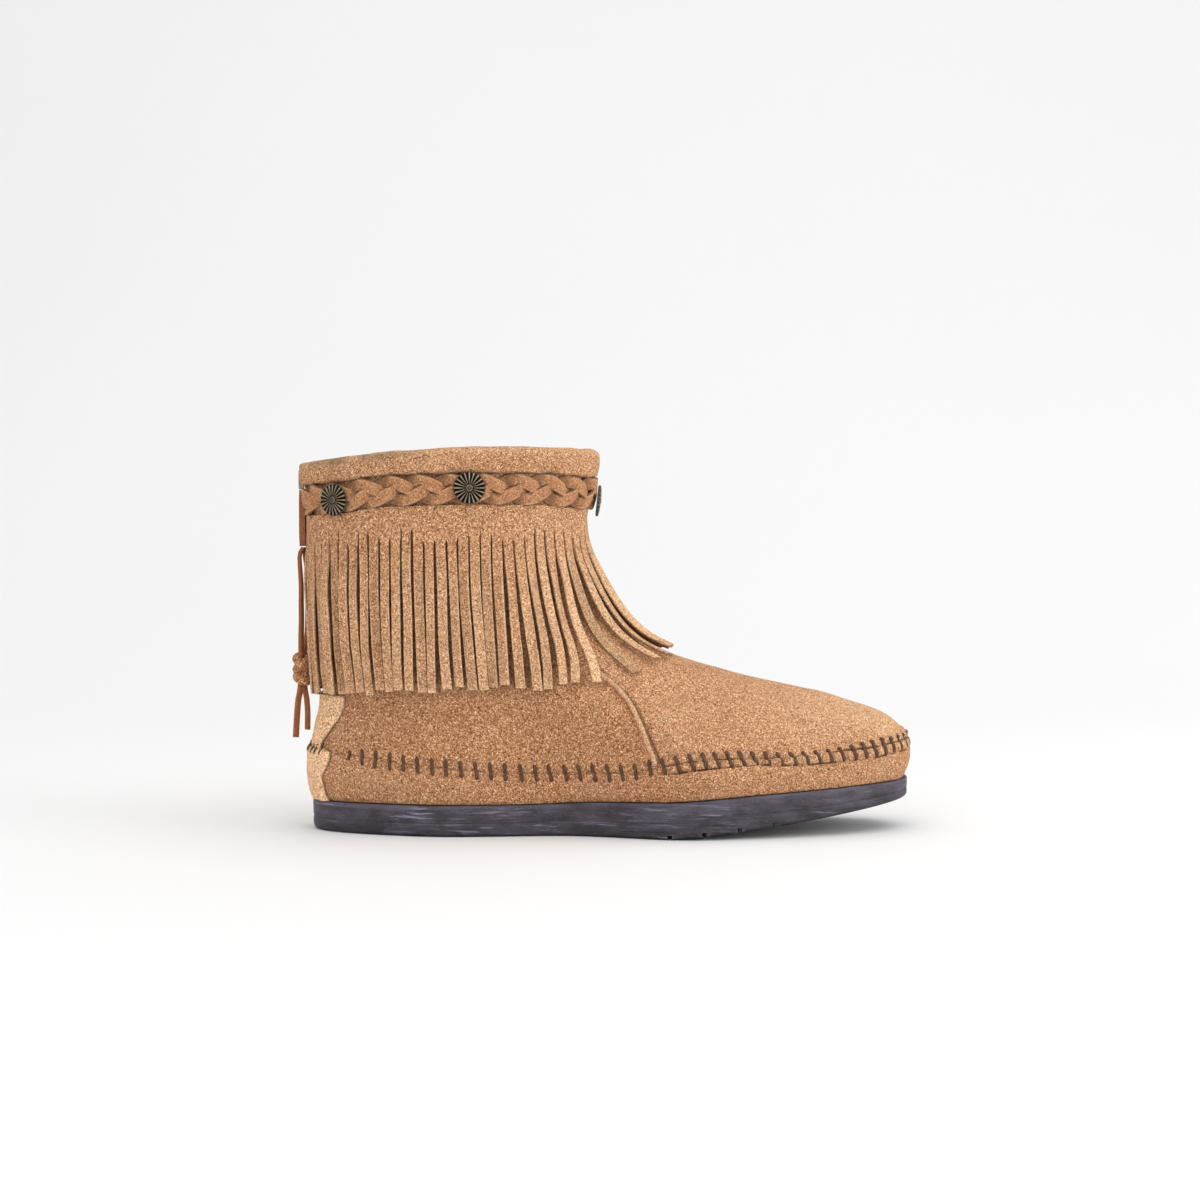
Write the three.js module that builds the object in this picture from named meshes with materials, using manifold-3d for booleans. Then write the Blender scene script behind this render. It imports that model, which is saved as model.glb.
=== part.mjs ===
// A suede moccasin boot for the right foot, with a fringed shaft and a zip at the back.
// Lengths are in millimetres. +X points to the toe, +Y to the inner side of the foot, +Z up.
// Pieces are laid out from the back of the heel, and the whole boot is then moved so that
// its origin lies on the ground, under the middle of the heel.

import * as THREE from 'three';
import { mergeVertices } from 'three/addons/utils/BufferGeometryUtils.js';
import Module from 'manifold-3d';

// Driving dimensions of the sole
const SOLE_LENGTH = 255;
const HEEL_SETBACK = 35;
const HEEL_THICKNESS = 12.8;
const TOE_SPRING = 13.6;
const SPRING_START = 0.59;
const SPRING_POWER = 1.25;
const SOLE_WELT = 1.5;
const SOLE_EDGE_ROUND = 2.2;
const MOULD_LINE_DEPTH = 0.4;
const GROOVE_WIDTH = 2;
const GROOVE_DEPTH = 1.6;
const GROOVE_SWEEP = 6;
const GROOVE_SPAN = 0.6;
const FOREFOOT_GROOVE_START = 157;
const FOREFOOT_GROOVE_PITCH = 14.5;
const FOREFOOT_GROOVES = 6;
const HEEL_GROOVE_PITCH = 8;
const HEEL_GROOVE_REACH = 19;

// Driving dimensions of the upper
const HEEL_WIDTH = 62;
const WAIST_WIDTH = 56;
const BALL_WIDTH = 88;
const TOE_WIDTH = 59;
const SHAFT_WIDTH = 76;
const SHAFT_LENGTH = 119;
const SEAM_HEIGHT = 22;
const BOOT_HEIGHT = 162;
const LAST_BEND = 4;
const UPPER_WALL = 1.8;
const INSOLE_THICKNESS = 3;

// Driving dimensions of the trim
const CLEARANCE = 0.3;
const BACKSTAY_TOP = 58;
const BACKSTAY_WIDTH = 14;
const BACKSTAY_WALL = 1;
const WELT_WIDTH = 2.4;
const WELT_WALL = 1.3;
const COLLAR_DEPTH = 14;
const COLLAR_BACK_DROP = 1.5;
const COLLAR_INSIDE = 9;
const COLLAR_WALL = 2.2;
const BRAID_WIDTH = 12.5;
const BRAID_PITCH = 12.8;
const BRAID_BASE = 1.6;
const BRAID_RELIEF = 2;
const CONCHO_DIAMETER = 13.3;
const CONCHO_HEIGHT = 2.2;
const CONCHO_SIDES = 16;

// Driving dimensions of the fringe
const STRIPS = 64;
const STRIP_WIDTH = 3.9;
const STRIP_WALL = 1.4;
const FRINGE_BAND = 8;
const FRINGE_DROP = 72;
const FRINGE_SLACK = 1.4;
const FRINGE_HANG = 4;

// Driving dimensions of the zip and its pull
const ZIP_BOTTOM = 60;
const ZIP_GAP = 6;
const ZIP_FLANK = 9;
const TAPE_WALL = 0.8;
const TEETH_WIDTH = 3;
const TEETH_WALL = 1.1;
const SLIDER_LENGTH = 8;
const SLIDER_WIDTH = 5;
const SLIDER_HEIGHT = 2;
const SLIDER_CENTRE = 149;
const PULL_LENGTH = 24;
const PULL_WIDTH = 7;
const PULL_WALL = 2.6;
const LACE_DIAMETER = 2.8;
const KNOT_WIDTH = 8.4;
const KNOT_HEIGHT = 14;

const COLOURS = {
  rubber: { color: 0x50494f, roughness: 0.75, metalness: 0 },
  suede: { color: 0xb27f58, roughness: 0.95, metalness: 0 },
  paleSuede: { color: 0xd9ae86, roughness: 0.95, metalness: 0 },
  lining: { color: 0xa8927a, roughness: 0.9, metalness: 0 },
  lace: { color: 0x895e45, roughness: 0.9, metalness: 0 },
  brass: { color: 0x8c7a55, roughness: 0.4, metalness: 1 },
  tape: { color: 0x6b4a35, roughness: 0.9, metalness: 0 },
};

// The sole's thickness, as shares of the heel's, at shares of its length.
const SOLE_STATIONS = {
  at: [0, 0.15, 0.35, 0.5, 0.6, 0.71, 0.8, 0.88, 0.94, 1],
  thick: [1, 1.02, 1.03, 1.15, 1.2, 1.14, 1.02, 0.88, 0.76, 0.64],
};

// The side of the sole, from the ground up: height as a share of the thickness,
// edge as a share of the rounding, line as a share of the mould line's depth.
const SOLE_SIDE = [
  { height: 0, edge: 1, line: 0 },
  { height: 0.05, edge: 0.4, line: 0 },
  { height: 0.16, edge: 0.05, line: 0 },
  { height: 0.4, edge: 0, line: 0 },
  { height: 0.44, edge: 0, line: 1 },
  { height: 0.48, edge: 0, line: 0 },
  { height: 0.96, edge: 0, line: 0 },
  { height: 1, edge: 0.15, line: 0 },
];

// Where the foot's four widths are measured, as shares of its length,
// and how far the middle line bends to the inner side at shares of the length.
const WIDTH_STATIONS = [0, 0.17, 0.42, 0.66, 0.9, 1];
const FOOT_ROUND = 2.5;
const BEND_STATIONS = [0, 0.42, 0.66, 0.86, 1];
const BEND_SHARES = [0, -1, -0.5, 0.35, 1];

// Sections of the upper, from the edge on the sole to the rim.
// back: share of the shaft's length, from the back of the heel
// front: share of the vamp's length, past the shaft
// backUp, frontUp: 0 at the sole, 1 at the seam, 2 at the rim
// dip: how far the middle of the section hangs, as a share of the seam's height
// heel, waist, ball, toe: shares of the half widths there
// backRound, frontRound: 2 is an ellipse, more is squarer
// bend: share of the last's bend
// leg: 0 where the section follows the foot's widths and the sole, 1 where it is the shaft
const SECTION_COLUMNS = ['back', 'front', 'backUp', 'frontUp', 'dip', 'heel', 'waist', 'ball', 'toe',
  'backRound', 'frontRound', 'bend', 'leg'];
const SECTION_ROWS = {
  feather: [0.012, 0.99, 0, 0, 0, 0.98, 0.96, 0.98, 1, 2.5, 2.5, 1, 0],
  swell: [0, 1, 0.2, 0.2, 0.07, 1.02, 1.02, 1.02, 1.03, 2.5, 2.5, 1, 0],
  belly: [-0.008, 1.008, 0.56, 0.52, 0.22, 1.05, 1.06, 1.05, 1.05, 2.5, 2.5, 1, 0],
  lip: [-0.006, 1.004, 0.92, 0.85, 0.37, 1.05, 1.08, 1.05, 1.05, 2.5, 2.5, 1, 0],
  seam: [0.004, 0.985, 1, 0.9, 0.4, 1.03, 1.06, 1.03, 1.02, 2.5, 2.5, 1, 0],
  toe: [0.014, 0.962, 1.045, 1.015, 0.34, 1, 1.08, 1.02, 0.99, 2.5, 2.45, 0.95, 0],
  toeTop: [0.022, 0.917, 1.085, 1.056, 0.32, 0.98, 1.06, 1.01, 0.95, 2.5, 2.4, 0.9, 0.1],
  vampFirst: [0.03, 0.84, 1.12, 1.1, 0.28, 0.96, 1.03, 1, 0.92, 2.45, 2.35, 0.8, 0.25],
  vampSecond: [0.034, 0.745, 1.155, 1.145, 0.23, 0.945, 1, 0.98, 0.89, 2.4, 2.25, 0.7, 0.4],
  vampThird: [0.034, 0.63, 1.19, 1.187, 0.18, 0.93, 0.96, 0.945, 0.86, 2.4, 2.15, 0.6, 0.55],
  vampFourth: [0.032, 0.515, 1.225, 1.222, 0.13, 0.925, 0.925, 0.91, 0.84, 2.4, 2.1, 0.5, 0.7],
  instepFirst: [0.022, 0.315, 1.31, 1.29, 0.05, 0.93, 0.905, 0.875, 0.81, 2.4, 2.05, 0.35, 0.85],
  instepSecond: [0.013, 0.175, 1.4, 1.36, 0, 0.945, 0.905, 0.88, 0.8, 2.4, 2.05, 0.2, 0.95],
  ankle: [0.004, 0.08, 1.505, 1.465, 0, 0.965, 0.92, 0.9, 0.815, 2.4, 2.1, 0.1, 1],
  legFirst: [-0.004, -0.002, 1.655, 1.635, 0, 0.98, 0.955, 0.93, 0.87, 2.4, 2.15, 0, 1],
  legSecond: [-0.005, -0.024, 1.78, 1.775, -0.1, 0.985, 0.97, 0.955, 0.91, 2.4, 2.25, 0, 1],
  legThird: [-0.01, -0.006, 1.86, 1.875, -0.16, 0.995, 0.98, 0.965, 0.93, 2.4, 2.3, 0, 1],
  rim: [-0.024, 0.01, 1.955, 2, -0.16, 1.01, 1, 0.98, 0.95, 2.4, 2.3, 0, 1],
};

// Half width of the backstay at heights from the sole to its top, as shares of its full half width.
const BACKSTAY_STATIONS = {
  up: [0, 0.18, 0.4, 0.52, 0.68, 0.84, 1],
  half: [0.5, 0.38, 0.55, 0.34, 0.5, 0.76, 1],
};

// The welt of the vamp seam: how far along the vamp, past the shaft, at shares of the way up
// from the moc seam to the fringe.
const WELT_STATIONS = { up: [0, 0.25, 0.5, 0.75, 1], along: [0.215, 0.19, 0.162, 0.13, 0.07] };
const WELT_BOTTOM = 32.8;
const WELT_TOP = 65;

// The fringe at shares of the way from the back to the front of the shaft:
// drop as a share of the full drop, lean towards the toe as a share of the drop.
const FRINGE_STATIONS = {
  at: [0, 0.15, 0.35, 0.55, 0.72, 0.85, 1],
  drop: [1.03, 1.02, 1, 1, 0.985, 0.94, 0.82],
  lean: [0.04, 0.015, 0.02, 0.05, 0.12, 0.2, 0.3],
};
const FOLLOW_START = 0.86;

// Conchos: place along the shaft from its back, height as a share of the braid's width, and sides.
const CONCHOS = [
  { name: 'rear', at: 0.085, up: 0.45, sides: ['lateral', 'medial'] },
  { name: 'middle', at: 0.575, up: 0.78, sides: ['lateral', 'medial'] },
  { name: 'front', at: 1, up: 0.42, sides: ['lateral'] },
];

// The doubled lace of the zip pull: points by hand, from the eye of the pull to the knot,
// and from the knot to the two ends.
const LACE_ROUTES = {
  pull_lace_1: [[-3.9, -1.7, 120], [-5.4, -2.1, 117], [-5.2, -2.3, 111], [-4.8, -2.3, 104], [-4.8, -2.3, 96],
    [-4.8, -2.2, 88], [-5, -2, 81], [-5, -1.9, 75.2]],
  pull_lace_2: [[-3.9, 1.7, 120], [-3.6, 1.9, 116], [-2.9, 2, 110], [-2.6, 2, 102], [-2.6, 2, 94],
    [-2.7, 2, 86], [-3.2, 1.9, 80], [-3.9, 1.8, 75.2]],
  pull_end_1: [[-5.4, -1.8, 59.8], [-6.2, -2.2, 54], [-6.1, -2.4, 48], [-5.9, -2.4, 41.6]],
  pull_end_2: [[-3.9, 1.8, 59.8], [-2.8, 2.2, 55], [-2.2, 2.4, 50], [-2, 2.4, 44.4]],
};
const KNOT_CENTRE = new THREE.Vector3(-4.6, 0, 67.5);

// Small helpers

const clamp = THREE.MathUtils.clamp;
const mix = THREE.MathUtils.lerp;
const smoothstep = THREE.MathUtils.smoothstep;

function vector(x, y, z) {
  return new THREE.Vector3(x, y, z);
}

// A repeatable small variation between -1 and 1.
function vary(number, salt) {
  const wave = Math.sin(number * 12.9898 + salt * 78.233) * 43758.5453;
  return 2 * (wave - Math.floor(wave)) - 1;
}

// A curve through values at stations that never swings past them.
function smoothCurve(stations, values, at) {
  const last = stations.length - 1;
  const where = clamp(at, stations[0], stations[last]);
  let left = 0;
  while (left < last - 1 && where > stations[left + 1]) left += 1;
  const slope = (i) => (values[i + 1] - values[i]) / (stations[i + 1] - stations[i]);
  const tangent = (i) => {
    if (i === 0 || i === last) return 0;
    const before = slope(i - 1);
    const after = slope(i);
    return before * after <= 0 ? 0 : (2 * before * after) / (before + after);
  };
  const span = stations[left + 1] - stations[left];
  const t = (where - stations[left]) / span;
  const startEase = t * (1 - t) * (1 - t) * span;
  const endEase = t * t * (t - 1) * span;
  const rest = t * t * (3 - 2 * t);
  return mix(values[left], values[left + 1], rest) + startEase * tangent(left) + endEase * tangent(left + 1);
}

// The sole's heights along its length

function soleBottom(x) {
  const past = clamp((x / SOLE_LENGTH - SPRING_START) / (1 - SPRING_START), 0, 1);
  return TOE_SPRING * past ** SPRING_POWER;
}

function soleTop(x) {
  const thick = smoothCurve(SOLE_STATIONS.at, SOLE_STATIONS.thick, x / SOLE_LENGTH);
  return soleBottom(x) + HEEL_THICKNESS * thick;
}

// The upper's surface

const RIM_HEIGHT = BOOT_HEIGHT - COLLAR_WALL - CLEARANCE;
const SEAM_LEVEL = HEEL_THICKNESS + CLEARANCE + SEAM_HEIGHT;

function fromSeamScale(level) {
  if (level <= 1) return level * SEAM_HEIGHT;
  return SEAM_HEIGHT + (level - 1) * (RIM_HEIGHT - SEAM_LEVEL);
}

function roundness(along, round) {
  const sine = 2 * Math.sqrt(Math.max(0, along * (1 - along)));
  return sine ** (2 / round);
}

const FOOT_HALF_WIDTHS = [HEEL_WIDTH, WAIST_WIDTH, BALL_WIDTH, TOE_WIDTH]
  .map((width, i) => width / 2 / roundness(WIDTH_STATIONS[i + 1], FOOT_ROUND));

// One row of the table with its shares turned into lengths.
function readSection(row) {
  const share = Object.fromEntries(SECTION_COLUMNS.map((column, i) => [column, row[i]]));
  const halves = ['heel', 'waist', 'ball', 'toe']
    .map((zone, i) => share[zone] * mix(FOOT_HALF_WIDTHS[i], SHAFT_WIDTH / 2, share.leg));
  return [
    share.back * SHAFT_LENGTH,
    SHAFT_LENGTH + share.front * (SOLE_LENGTH - SHAFT_LENGTH),
    fromSeamScale(share.backUp),
    fromSeamScale(share.frontUp),
    share.dip * SEAM_HEIGHT,
    ...halves,
    share.backRound,
    share.frontRound,
    share.bend * LAST_BEND,
    share.leg,
  ];
}

const SECTIONS = Object.values(SECTION_ROWS).map(readSection);
const LAST_SECTION = SECTIONS.length - 1;
const FEATHER = SECTIONS[0];

// A section between two rows of the table, on a curve through the rows.
function sectionAt(level) {
  const place = clamp(level, 0, LAST_SECTION);
  const low = Math.min(Math.floor(place), LAST_SECTION - 1);
  const t = place - low;
  const before = SECTIONS[Math.max(low - 1, 0)];
  const start = SECTIONS[low];
  const end = SECTIONS[low + 1];
  const after = SECTIONS[Math.min(low + 2, LAST_SECTION)];
  return start.map((value, i) => {
    const leave = (end[i] - before[i]) / 2;
    const arrive = (after[i] - value) / 2;
    const rise = t * t * (3 - 2 * t);
    return mix(value, end[i], rise) + t * (1 - t) * (1 - t) * leave - t * t * (1 - t) * arrive;
  });
}

// A point of a section's outline: angle 0 at the back, the inner side next, the toe at half a turn.
function outlinePoint(section, angle) {
  const [back, front, backUp, frontUp, dip, ...shape] = section;
  const [heel, waist, ball, toe, backRound, frontRound, bend, leg] = shape;
  const along = (1 - Math.cos(angle)) / 2;
  const x = mix(back, front, along);
  const half = smoothCurve(WIDTH_STATIONS, [heel, heel, waist, ball, toe, toe], along);
  const spread = Math.abs(Math.sin(angle)) ** (2 / mix(backRound, frontRound, along));
  const middle = bend * smoothCurve(BEND_STATIONS, BEND_SHARES, along);
  const base = mix(soleTop(x), HEEL_THICKNESS, leg) + CLEARANCE;
  const z = base + mix(backUp, frontUp, along) - dip * Math.sin(Math.PI * along);
  return vector(x, middle + Math.sign(Math.sin(angle)) * half * spread, z);
}

function smoothPoint(level, angle) {
  return outlinePoint(sectionAt(level), angle);
}

// The wall is straight between its sections, and so is what lies on it.
function upperPoint(level, angle) {
  const place = clamp(level, 0, LAST_SECTION);
  const ring = Math.min(Math.floor(place), LAST_SECTION - 1);
  const low = outlinePoint(SECTIONS[ring], angle);
  return low.lerp(outlinePoint(SECTIONS[ring + 1], angle), place - ring);
}

function upperNormal(level, angle) {
  const step = 0.02;
  const around = smoothPoint(level, angle + step).sub(smoothPoint(level, angle - step));
  const up = smoothPoint(Math.min(level + step, LAST_SECTION), angle)
    .sub(smoothPoint(Math.max(level - step, 0), angle));
  return up.cross(around).normalize();
}

function onUpper(level, angle, lift) {
  return upperPoint(level, angle).addScaledVector(upperNormal(level, angle), lift);
}

// The value between low and high where a rising measure reaches its target.
function solve(low, high, target, measure) {
  let from = low;
  let to = high;
  for (let i = 0; i < 26; i += 1) {
    const middle = (from + to) / 2;
    if (measure(middle) < target) from = middle;
    else to = middle;
  }
  return (from + to) / 2;
}

function levelAtHeight(height, angle) {
  return solve(0, LAST_SECTION, height, (level) => upperPoint(level, angle).z);
}

// The angle at which the upper passes a distance from the back of the heel, at one height.
function angleAt(x, height, lateral) {
  const half = solve(0, Math.PI, x, (angle) => upperPoint(levelAtHeight(height, angle), angle).x);
  return lateral ? 2 * Math.PI - half : half;
}

// The angle beside the back's middle line at which the upper is a given distance from that line.
function backAngle(y, height) {
  const half = solve(0, 1, Math.abs(y), (angle) => upperPoint(levelAtHeight(height, angle), angle).y);
  return Math.sign(y) * half;
}

// Angles at even steps of length around the shaft at one height, from the zip all round.
function evenAngles(height, gap, steps) {
  const first = backAngle(gap / 2, height);
  const fine = 720;
  const lengths = [0];
  let before = null;
  for (let i = 0; i <= fine; i += 1) {
    const angle = mix(first, 2 * Math.PI - first, i / fine);
    const point = upperPoint(levelAtHeight(height, angle), angle);
    if (before) lengths.push(lengths[i - 1] + point.distanceTo(before));
    before = point;
  }
  const total = lengths[fine];
  const angleOf = (share) => {
    let i = 0;
    while (i < fine - 1 && lengths[i + 1] < share * total) i += 1;
    const part = (share * total - lengths[i]) / (lengths[i + 1] - lengths[i]);
    return mix(first, 2 * Math.PI - first, (i + part) / fine);
  };
  return { total, angles: Array.from({ length: steps + 1 }, (_, i) => angleOf(i / steps)) };
}

// Solids

function signedVolume(positions, faces) {
  const corner = (i) => vector(positions[3 * i], positions[3 * i + 1], positions[3 * i + 2]);
  let volume = 0;
  for (let i = 0; i < faces.length; i += 3) {
    const a = corner(faces[i]);
    volume += a.dot(corner(faces[i + 1]).cross(corner(faces[i + 2]))) / 6;
  }
  return volume;
}

// A geometry from points and triangles, turned so that its faces point out.
function closedGeometry(positions, faces) {
  const outward = signedVolume(positions, faces) > 0 ? faces : faces.slice().reverse();
  const geometry = new THREE.BufferGeometry();
  geometry.setAttribute('position', new THREE.Float32BufferAttribute(positions, 3));
  geometry.setIndex(outward);
  geometry.computeVertexNormals();
  return geometry;
}

// A closed solid from a grid of cells, each with an outer and an inner face.
// Where a cell has no neighbour, an edge joins the two faces.
function sheetSolid({ columns, rows, point, wraps = false, has = () => true }) {
  const lines = wraps ? columns : columns + 1;
  const positions = [];
  for (let c = 0; c < lines; c += 1) {
    for (let r = 0; r <= rows; r += 1) {
      const { outer, inner } = point(c, r);
      positions.push(...outer.toArray(), ...inner.toArray());
    }
  }
  const corner = (c, r, layer) => ((c % lines) * (rows + 1) + r) * 2 + layer;
  const filled = (c, r) => {
    if (r < 0 || r >= rows) return false;
    if (!wraps && (c < 0 || c >= columns)) return false;
    return has((c + columns) % columns, r);
  };
  const faces = [];
  const quad = (a, b, c, d) => faces.push(a, b, c, a, c, d);
  for (let c = 0; c < columns; c += 1) {
    for (let r = 0; r < rows; r += 1) {
      if (!filled(c, r)) continue;
      const [o, i] = [0, 1].map((layer) => [
        corner(c, r, layer), corner(c + 1, r, layer), corner(c + 1, r + 1, layer), corner(c, r + 1, layer),
      ]);
      quad(o[0], o[1], o[2], o[3]);
      quad(i[3], i[2], i[1], i[0]);
      if (!filled(c, r - 1)) quad(i[0], i[1], o[1], o[0]);
      if (!filled(c, r + 1)) quad(o[3], o[2], i[2], i[3]);
      if (!filled(c - 1, r)) quad(i[0], o[0], o[3], i[3]);
      if (!filled(c + 1, r)) quad(o[1], i[1], i[2], o[2]);
    }
  }
  return closedGeometry(positions, faces);
}

// A closed solid from rings stacked upwards, closed below and above from side to side.
function ringSolid(rings) {
  const count = rings[0].length;
  const positions = rings.flat().flatMap((point) => point.toArray());
  const faces = [];
  for (let level = 0; level < rings.length - 1; level += 1) {
    for (let j = 0; j < count; j += 1) {
      const next = (j + 1) % count;
      const [low, high] = [level * count, (level + 1) * count];
      faces.push(low + j, low + next, high + next, low + j, high + next, high + j);
    }
  }
  const top = (rings.length - 1) * count;
  for (let j = 0; j < count / 2; j += 1) {
    const [a, b, c, d] = [j, j + 1, (count - j - 1) % count, (count - j) % count];
    if (b !== c) faces.push(top + a, top + b, top + c, b, a, c);
    if (a !== d) faces.push(top + a, top + c, top + d, a, d, c);
  }
  return closedGeometry(positions, faces);
}

const manifold = await Module();
manifold.setup();

function toSolid(geometry) {
  const bare = geometry.clone();
  bare.deleteAttribute('normal');
  bare.deleteAttribute('uv');
  const merged = mergeVertices(bare);
  return new manifold.Manifold(new manifold.Mesh({
    numProp: 3,
    vertProperties: merged.getAttribute('position').array,
    triVerts: Uint32Array.from(merged.index.array),
  }));
}

function subtract(geometry, cutters) {
  const solid = cutters.reduce((left, cutter) => left.subtract(toSolid(cutter)), toSolid(geometry));
  const mesh = solid.getMesh();
  const result = new THREE.BufferGeometry();
  result.setAttribute('position', new THREE.BufferAttribute(mesh.vertProperties, 3));
  result.setIndex(new THREE.BufferAttribute(mesh.triVerts, 1));
  result.computeVertexNormals();
  return result;
}

const boot = new THREE.Group();
boot.position.x = -HEEL_SETBACK;

function addPiece(name, geometry, look) {
  const piece = new THREE.Mesh(geometry, new THREE.MeshStandardMaterial(look));
  piece.name = name;
  boot.add(piece);
  return piece;
}

// Sole and insole

const RING_STEPS = 48;

// The foot's outline on the ground, grown by a distance.
function groundOutline(grow) {
  const points = [];
  for (let j = 0; j < RING_STEPS; j += 1) {
    const angle = (2 * Math.PI * j) / RING_STEPS;
    const step = 0.02;
    const here = outlinePoint(FEATHER, angle);
    const around = outlinePoint(FEATHER, angle + step).sub(outlinePoint(FEATHER, angle - step));
    const out = vector(-around.y, around.x, 0).normalize();
    points.push(vector(here.x + out.x * grow, here.y + out.y * grow, 0));
  }
  return points;
}

function outsoleBody() {
  const rings = SOLE_SIDE.map(({ height, edge, line }) => {
    const grow = SOLE_WELT - edge * SOLE_EDGE_ROUND - line * MOULD_LINE_DEPTH;
    return groundOutline(grow).map((point) => {
      const low = soleBottom(point.x);
      return vector(point.x, point.y, mix(low, soleTop(point.x), height));
    });
  });
  return ringSolid(rings);
}

// One groove of the tread, swept forward in the middle.
function treadGroove(x, reach) {
  const half = GROOVE_WIDTH / 2;
  const outline = new THREE.Shape([
    new THREE.Vector2(x - GROOVE_SWEEP - half, -reach),
    new THREE.Vector2(x - GROOVE_SWEEP + half, -reach),
    new THREE.Vector2(x + half, 0),
    new THREE.Vector2(x - GROOVE_SWEEP + half, reach),
    new THREE.Vector2(x - GROOVE_SWEEP - half, reach),
    new THREE.Vector2(x - half, 0),
  ]);
  const depth = 2 * GROOVE_DEPTH + soleBottom(x);
  const groove = new THREE.ExtrudeGeometry(outline, { depth, bevelEnabled: false });
  groove.translate(0, 0, -GROOVE_DEPTH);
  return groove;
}

function outsole() {
  const grooves = [-2, -1, 1, 2]
    .map((k) => treadGroove(HEEL_SETBACK + k * HEEL_GROOVE_PITCH, HEEL_GROOVE_REACH));
  for (let k = 0; k < FOREFOOT_GROOVES; k += 1) {
    grooves.push(treadGroove(FOREFOOT_GROOVE_START + k * FOREFOOT_GROOVE_PITCH, BALL_WIDTH * GROOVE_SPAN));
  }
  return subtract(outsoleBody(), grooves);
}

// The side of the insole: height as a share of its thickness, and how far its top edge is cut back.
const INSOLE_SIDE = [{ height: 0, cut: 0 }, { height: 0.6, cut: 0 }, { height: 1, cut: 0.6 }];

function insole() {
  const inside = UPPER_WALL + 2 * CLEARANCE;
  const rings = INSOLE_SIDE.map(({ height, cut }) => groundOutline(-inside - cut)
    .map(({ x, y }) => vector(x, y, soleTop(x) + CLEARANCE + height * INSOLE_THICKNESS)));
  return ringSolid(rings);
}

addPiece('outsole', outsole(), COLOURS.rubber);
addPiece('insole', insole(), COLOURS.lining);

// Upper

const UPPER_COLUMNS = 44;

function upperWall() {
  return sheetSolid({
    columns: UPPER_COLUMNS,
    rows: LAST_SECTION,
    wraps: true,
    point: (c, level) => {
      const angle = (2 * Math.PI * c) / UPPER_COLUMNS;
      return { outer: upperPoint(level, angle), inner: onUpper(level, angle, -UPPER_WALL) };
    },
  });
}

// The slot at the back that the zip closes.
function zipOpening() {
  const opening = new THREE.BoxGeometry(SHAFT_LENGTH / 4, ZIP_GAP, BOOT_HEIGHT);
  opening.translate(0, 0, ZIP_BOTTOM + BOOT_HEIGHT / 2);
  return opening;
}

addPiece('upper', subtract(upperWall(), [zipOpening()]), COLOURS.suede);

// Overlays on the upper

// The two faces of an overlay at one place: a seating gap off the upper, and its wall beyond that.
function overlay(level, angle, wall, raise = 0) {
  return {
    outer: onUpper(level, angle, CLEARANCE + raise + wall),
    inner: onUpper(level, angle, CLEARANCE + raise),
  };
}

function backstay() {
  const columns = 6;
  const rows = 9;
  const bottom = HEEL_THICKNESS + 2 * CLEARANCE;
  return sheetSolid({
    columns,
    rows,
    point: (c, r) => {
      const height = mix(bottom, BACKSTAY_TOP, r / rows);
      const half = BACKSTAY_WIDTH * smoothCurve(BACKSTAY_STATIONS.up, BACKSTAY_STATIONS.half, r / rows);
      const angle = backAngle(half, height) * mix(-1, 1, c / columns);
      return overlay(levelAtHeight(height, angle), angle, BACKSTAY_WALL);
    },
  });
}

// The raised seam between vamp and quarter, from the moc seam up under the fringe.
function vampWelt(lateral) {
  const columns = 2;
  const rows = 8;
  const vampLength = SOLE_LENGTH - SHAFT_LENGTH;
  return sheetSolid({
    columns,
    rows,
    point: (c, r) => {
      const along = smoothCurve(WELT_STATIONS.up, WELT_STATIONS.along, r / rows);
      const x = SHAFT_LENGTH + vampLength * along + WELT_WIDTH * (c / columns - 0.5);
      const height = mix(WELT_BOTTOM, WELT_TOP, r / rows);
      const angle = angleAt(x, height, lateral);
      const crown = c === 1 ? WELT_WALL : WELT_WALL / 2;
      return overlay(levelAtHeight(height, angle), angle, crown);
    },
  });
}

addPiece('backstay', backstay(), COLOURS.paleSuede);
addPiece('vamp_welt_lateral', vampWelt(true), COLOURS.paleSuede);
addPiece('vamp_welt_medial', vampWelt(false), COLOURS.paleSuede);

// Collar band, folded over the rim

const COLLAR_COLUMNS = 40;
const BAND_LEVEL = BOOT_HEIGHT - COLLAR_DEPTH - COLLAR_BACK_DROP;

// The height of the collar band's lower edge, a little lower at the back.
function bandLevel(angle) {
  const backness = (1 + Math.cos(angle)) / 2;
  return BOOT_HEIGHT - COLLAR_DEPTH - COLLAR_BACK_DROP * backness * backness;
}

// A point of the fold, from the outer edge up, over the rim and down inside.
function collarPoint(angle, station, wall) {
  const rim = upperPoint(LAST_SECTION, angle);
  const out = upperNormal(LAST_SECTION, angle);
  const middle = -UPPER_WALL / 2;
  const reach = UPPER_WALL / 2 + CLEARANCE + wall;
  if (station.down > 0) {
    const height = station.outside ? mix(rim.z, bandLevel(angle), station.down) : rim.z - COLLAR_INSIDE;
    const lift = station.outside ? middle + reach : middle - reach;
    return onUpper(levelAtHeight(height, angle), angle, lift);
  }
  const turn = station.turn * Math.PI;
  const over = rim.clone().addScaledVector(out, middle + reach * Math.cos(turn));
  over.z += (CLEARANCE + wall) * Math.sin(turn);
  return over;
}

function collarBand() {
  const stations = [
    { outside: true, down: 1 },
    { down: 0, turn: 0 },
    { down: 0, turn: 0.3 },
    { down: 0, turn: 0.7 },
    { down: 0, turn: 1 },
    { outside: false, down: 1 },
  ];
  const { angles } = evenAngles(BAND_LEVEL, ZIP_FLANK, COLLAR_COLUMNS);
  return sheetSolid({
    columns: COLLAR_COLUMNS,
    rows: stations.length - 1,
    point: (c, r) => ({
      outer: collarPoint(angles[c], stations[r], COLLAR_WALL),
      inner: collarPoint(angles[c], stations[r], 0),
    }),
  });
}

addPiece('collar_band', collarBand(), COLOURS.suede);

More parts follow.
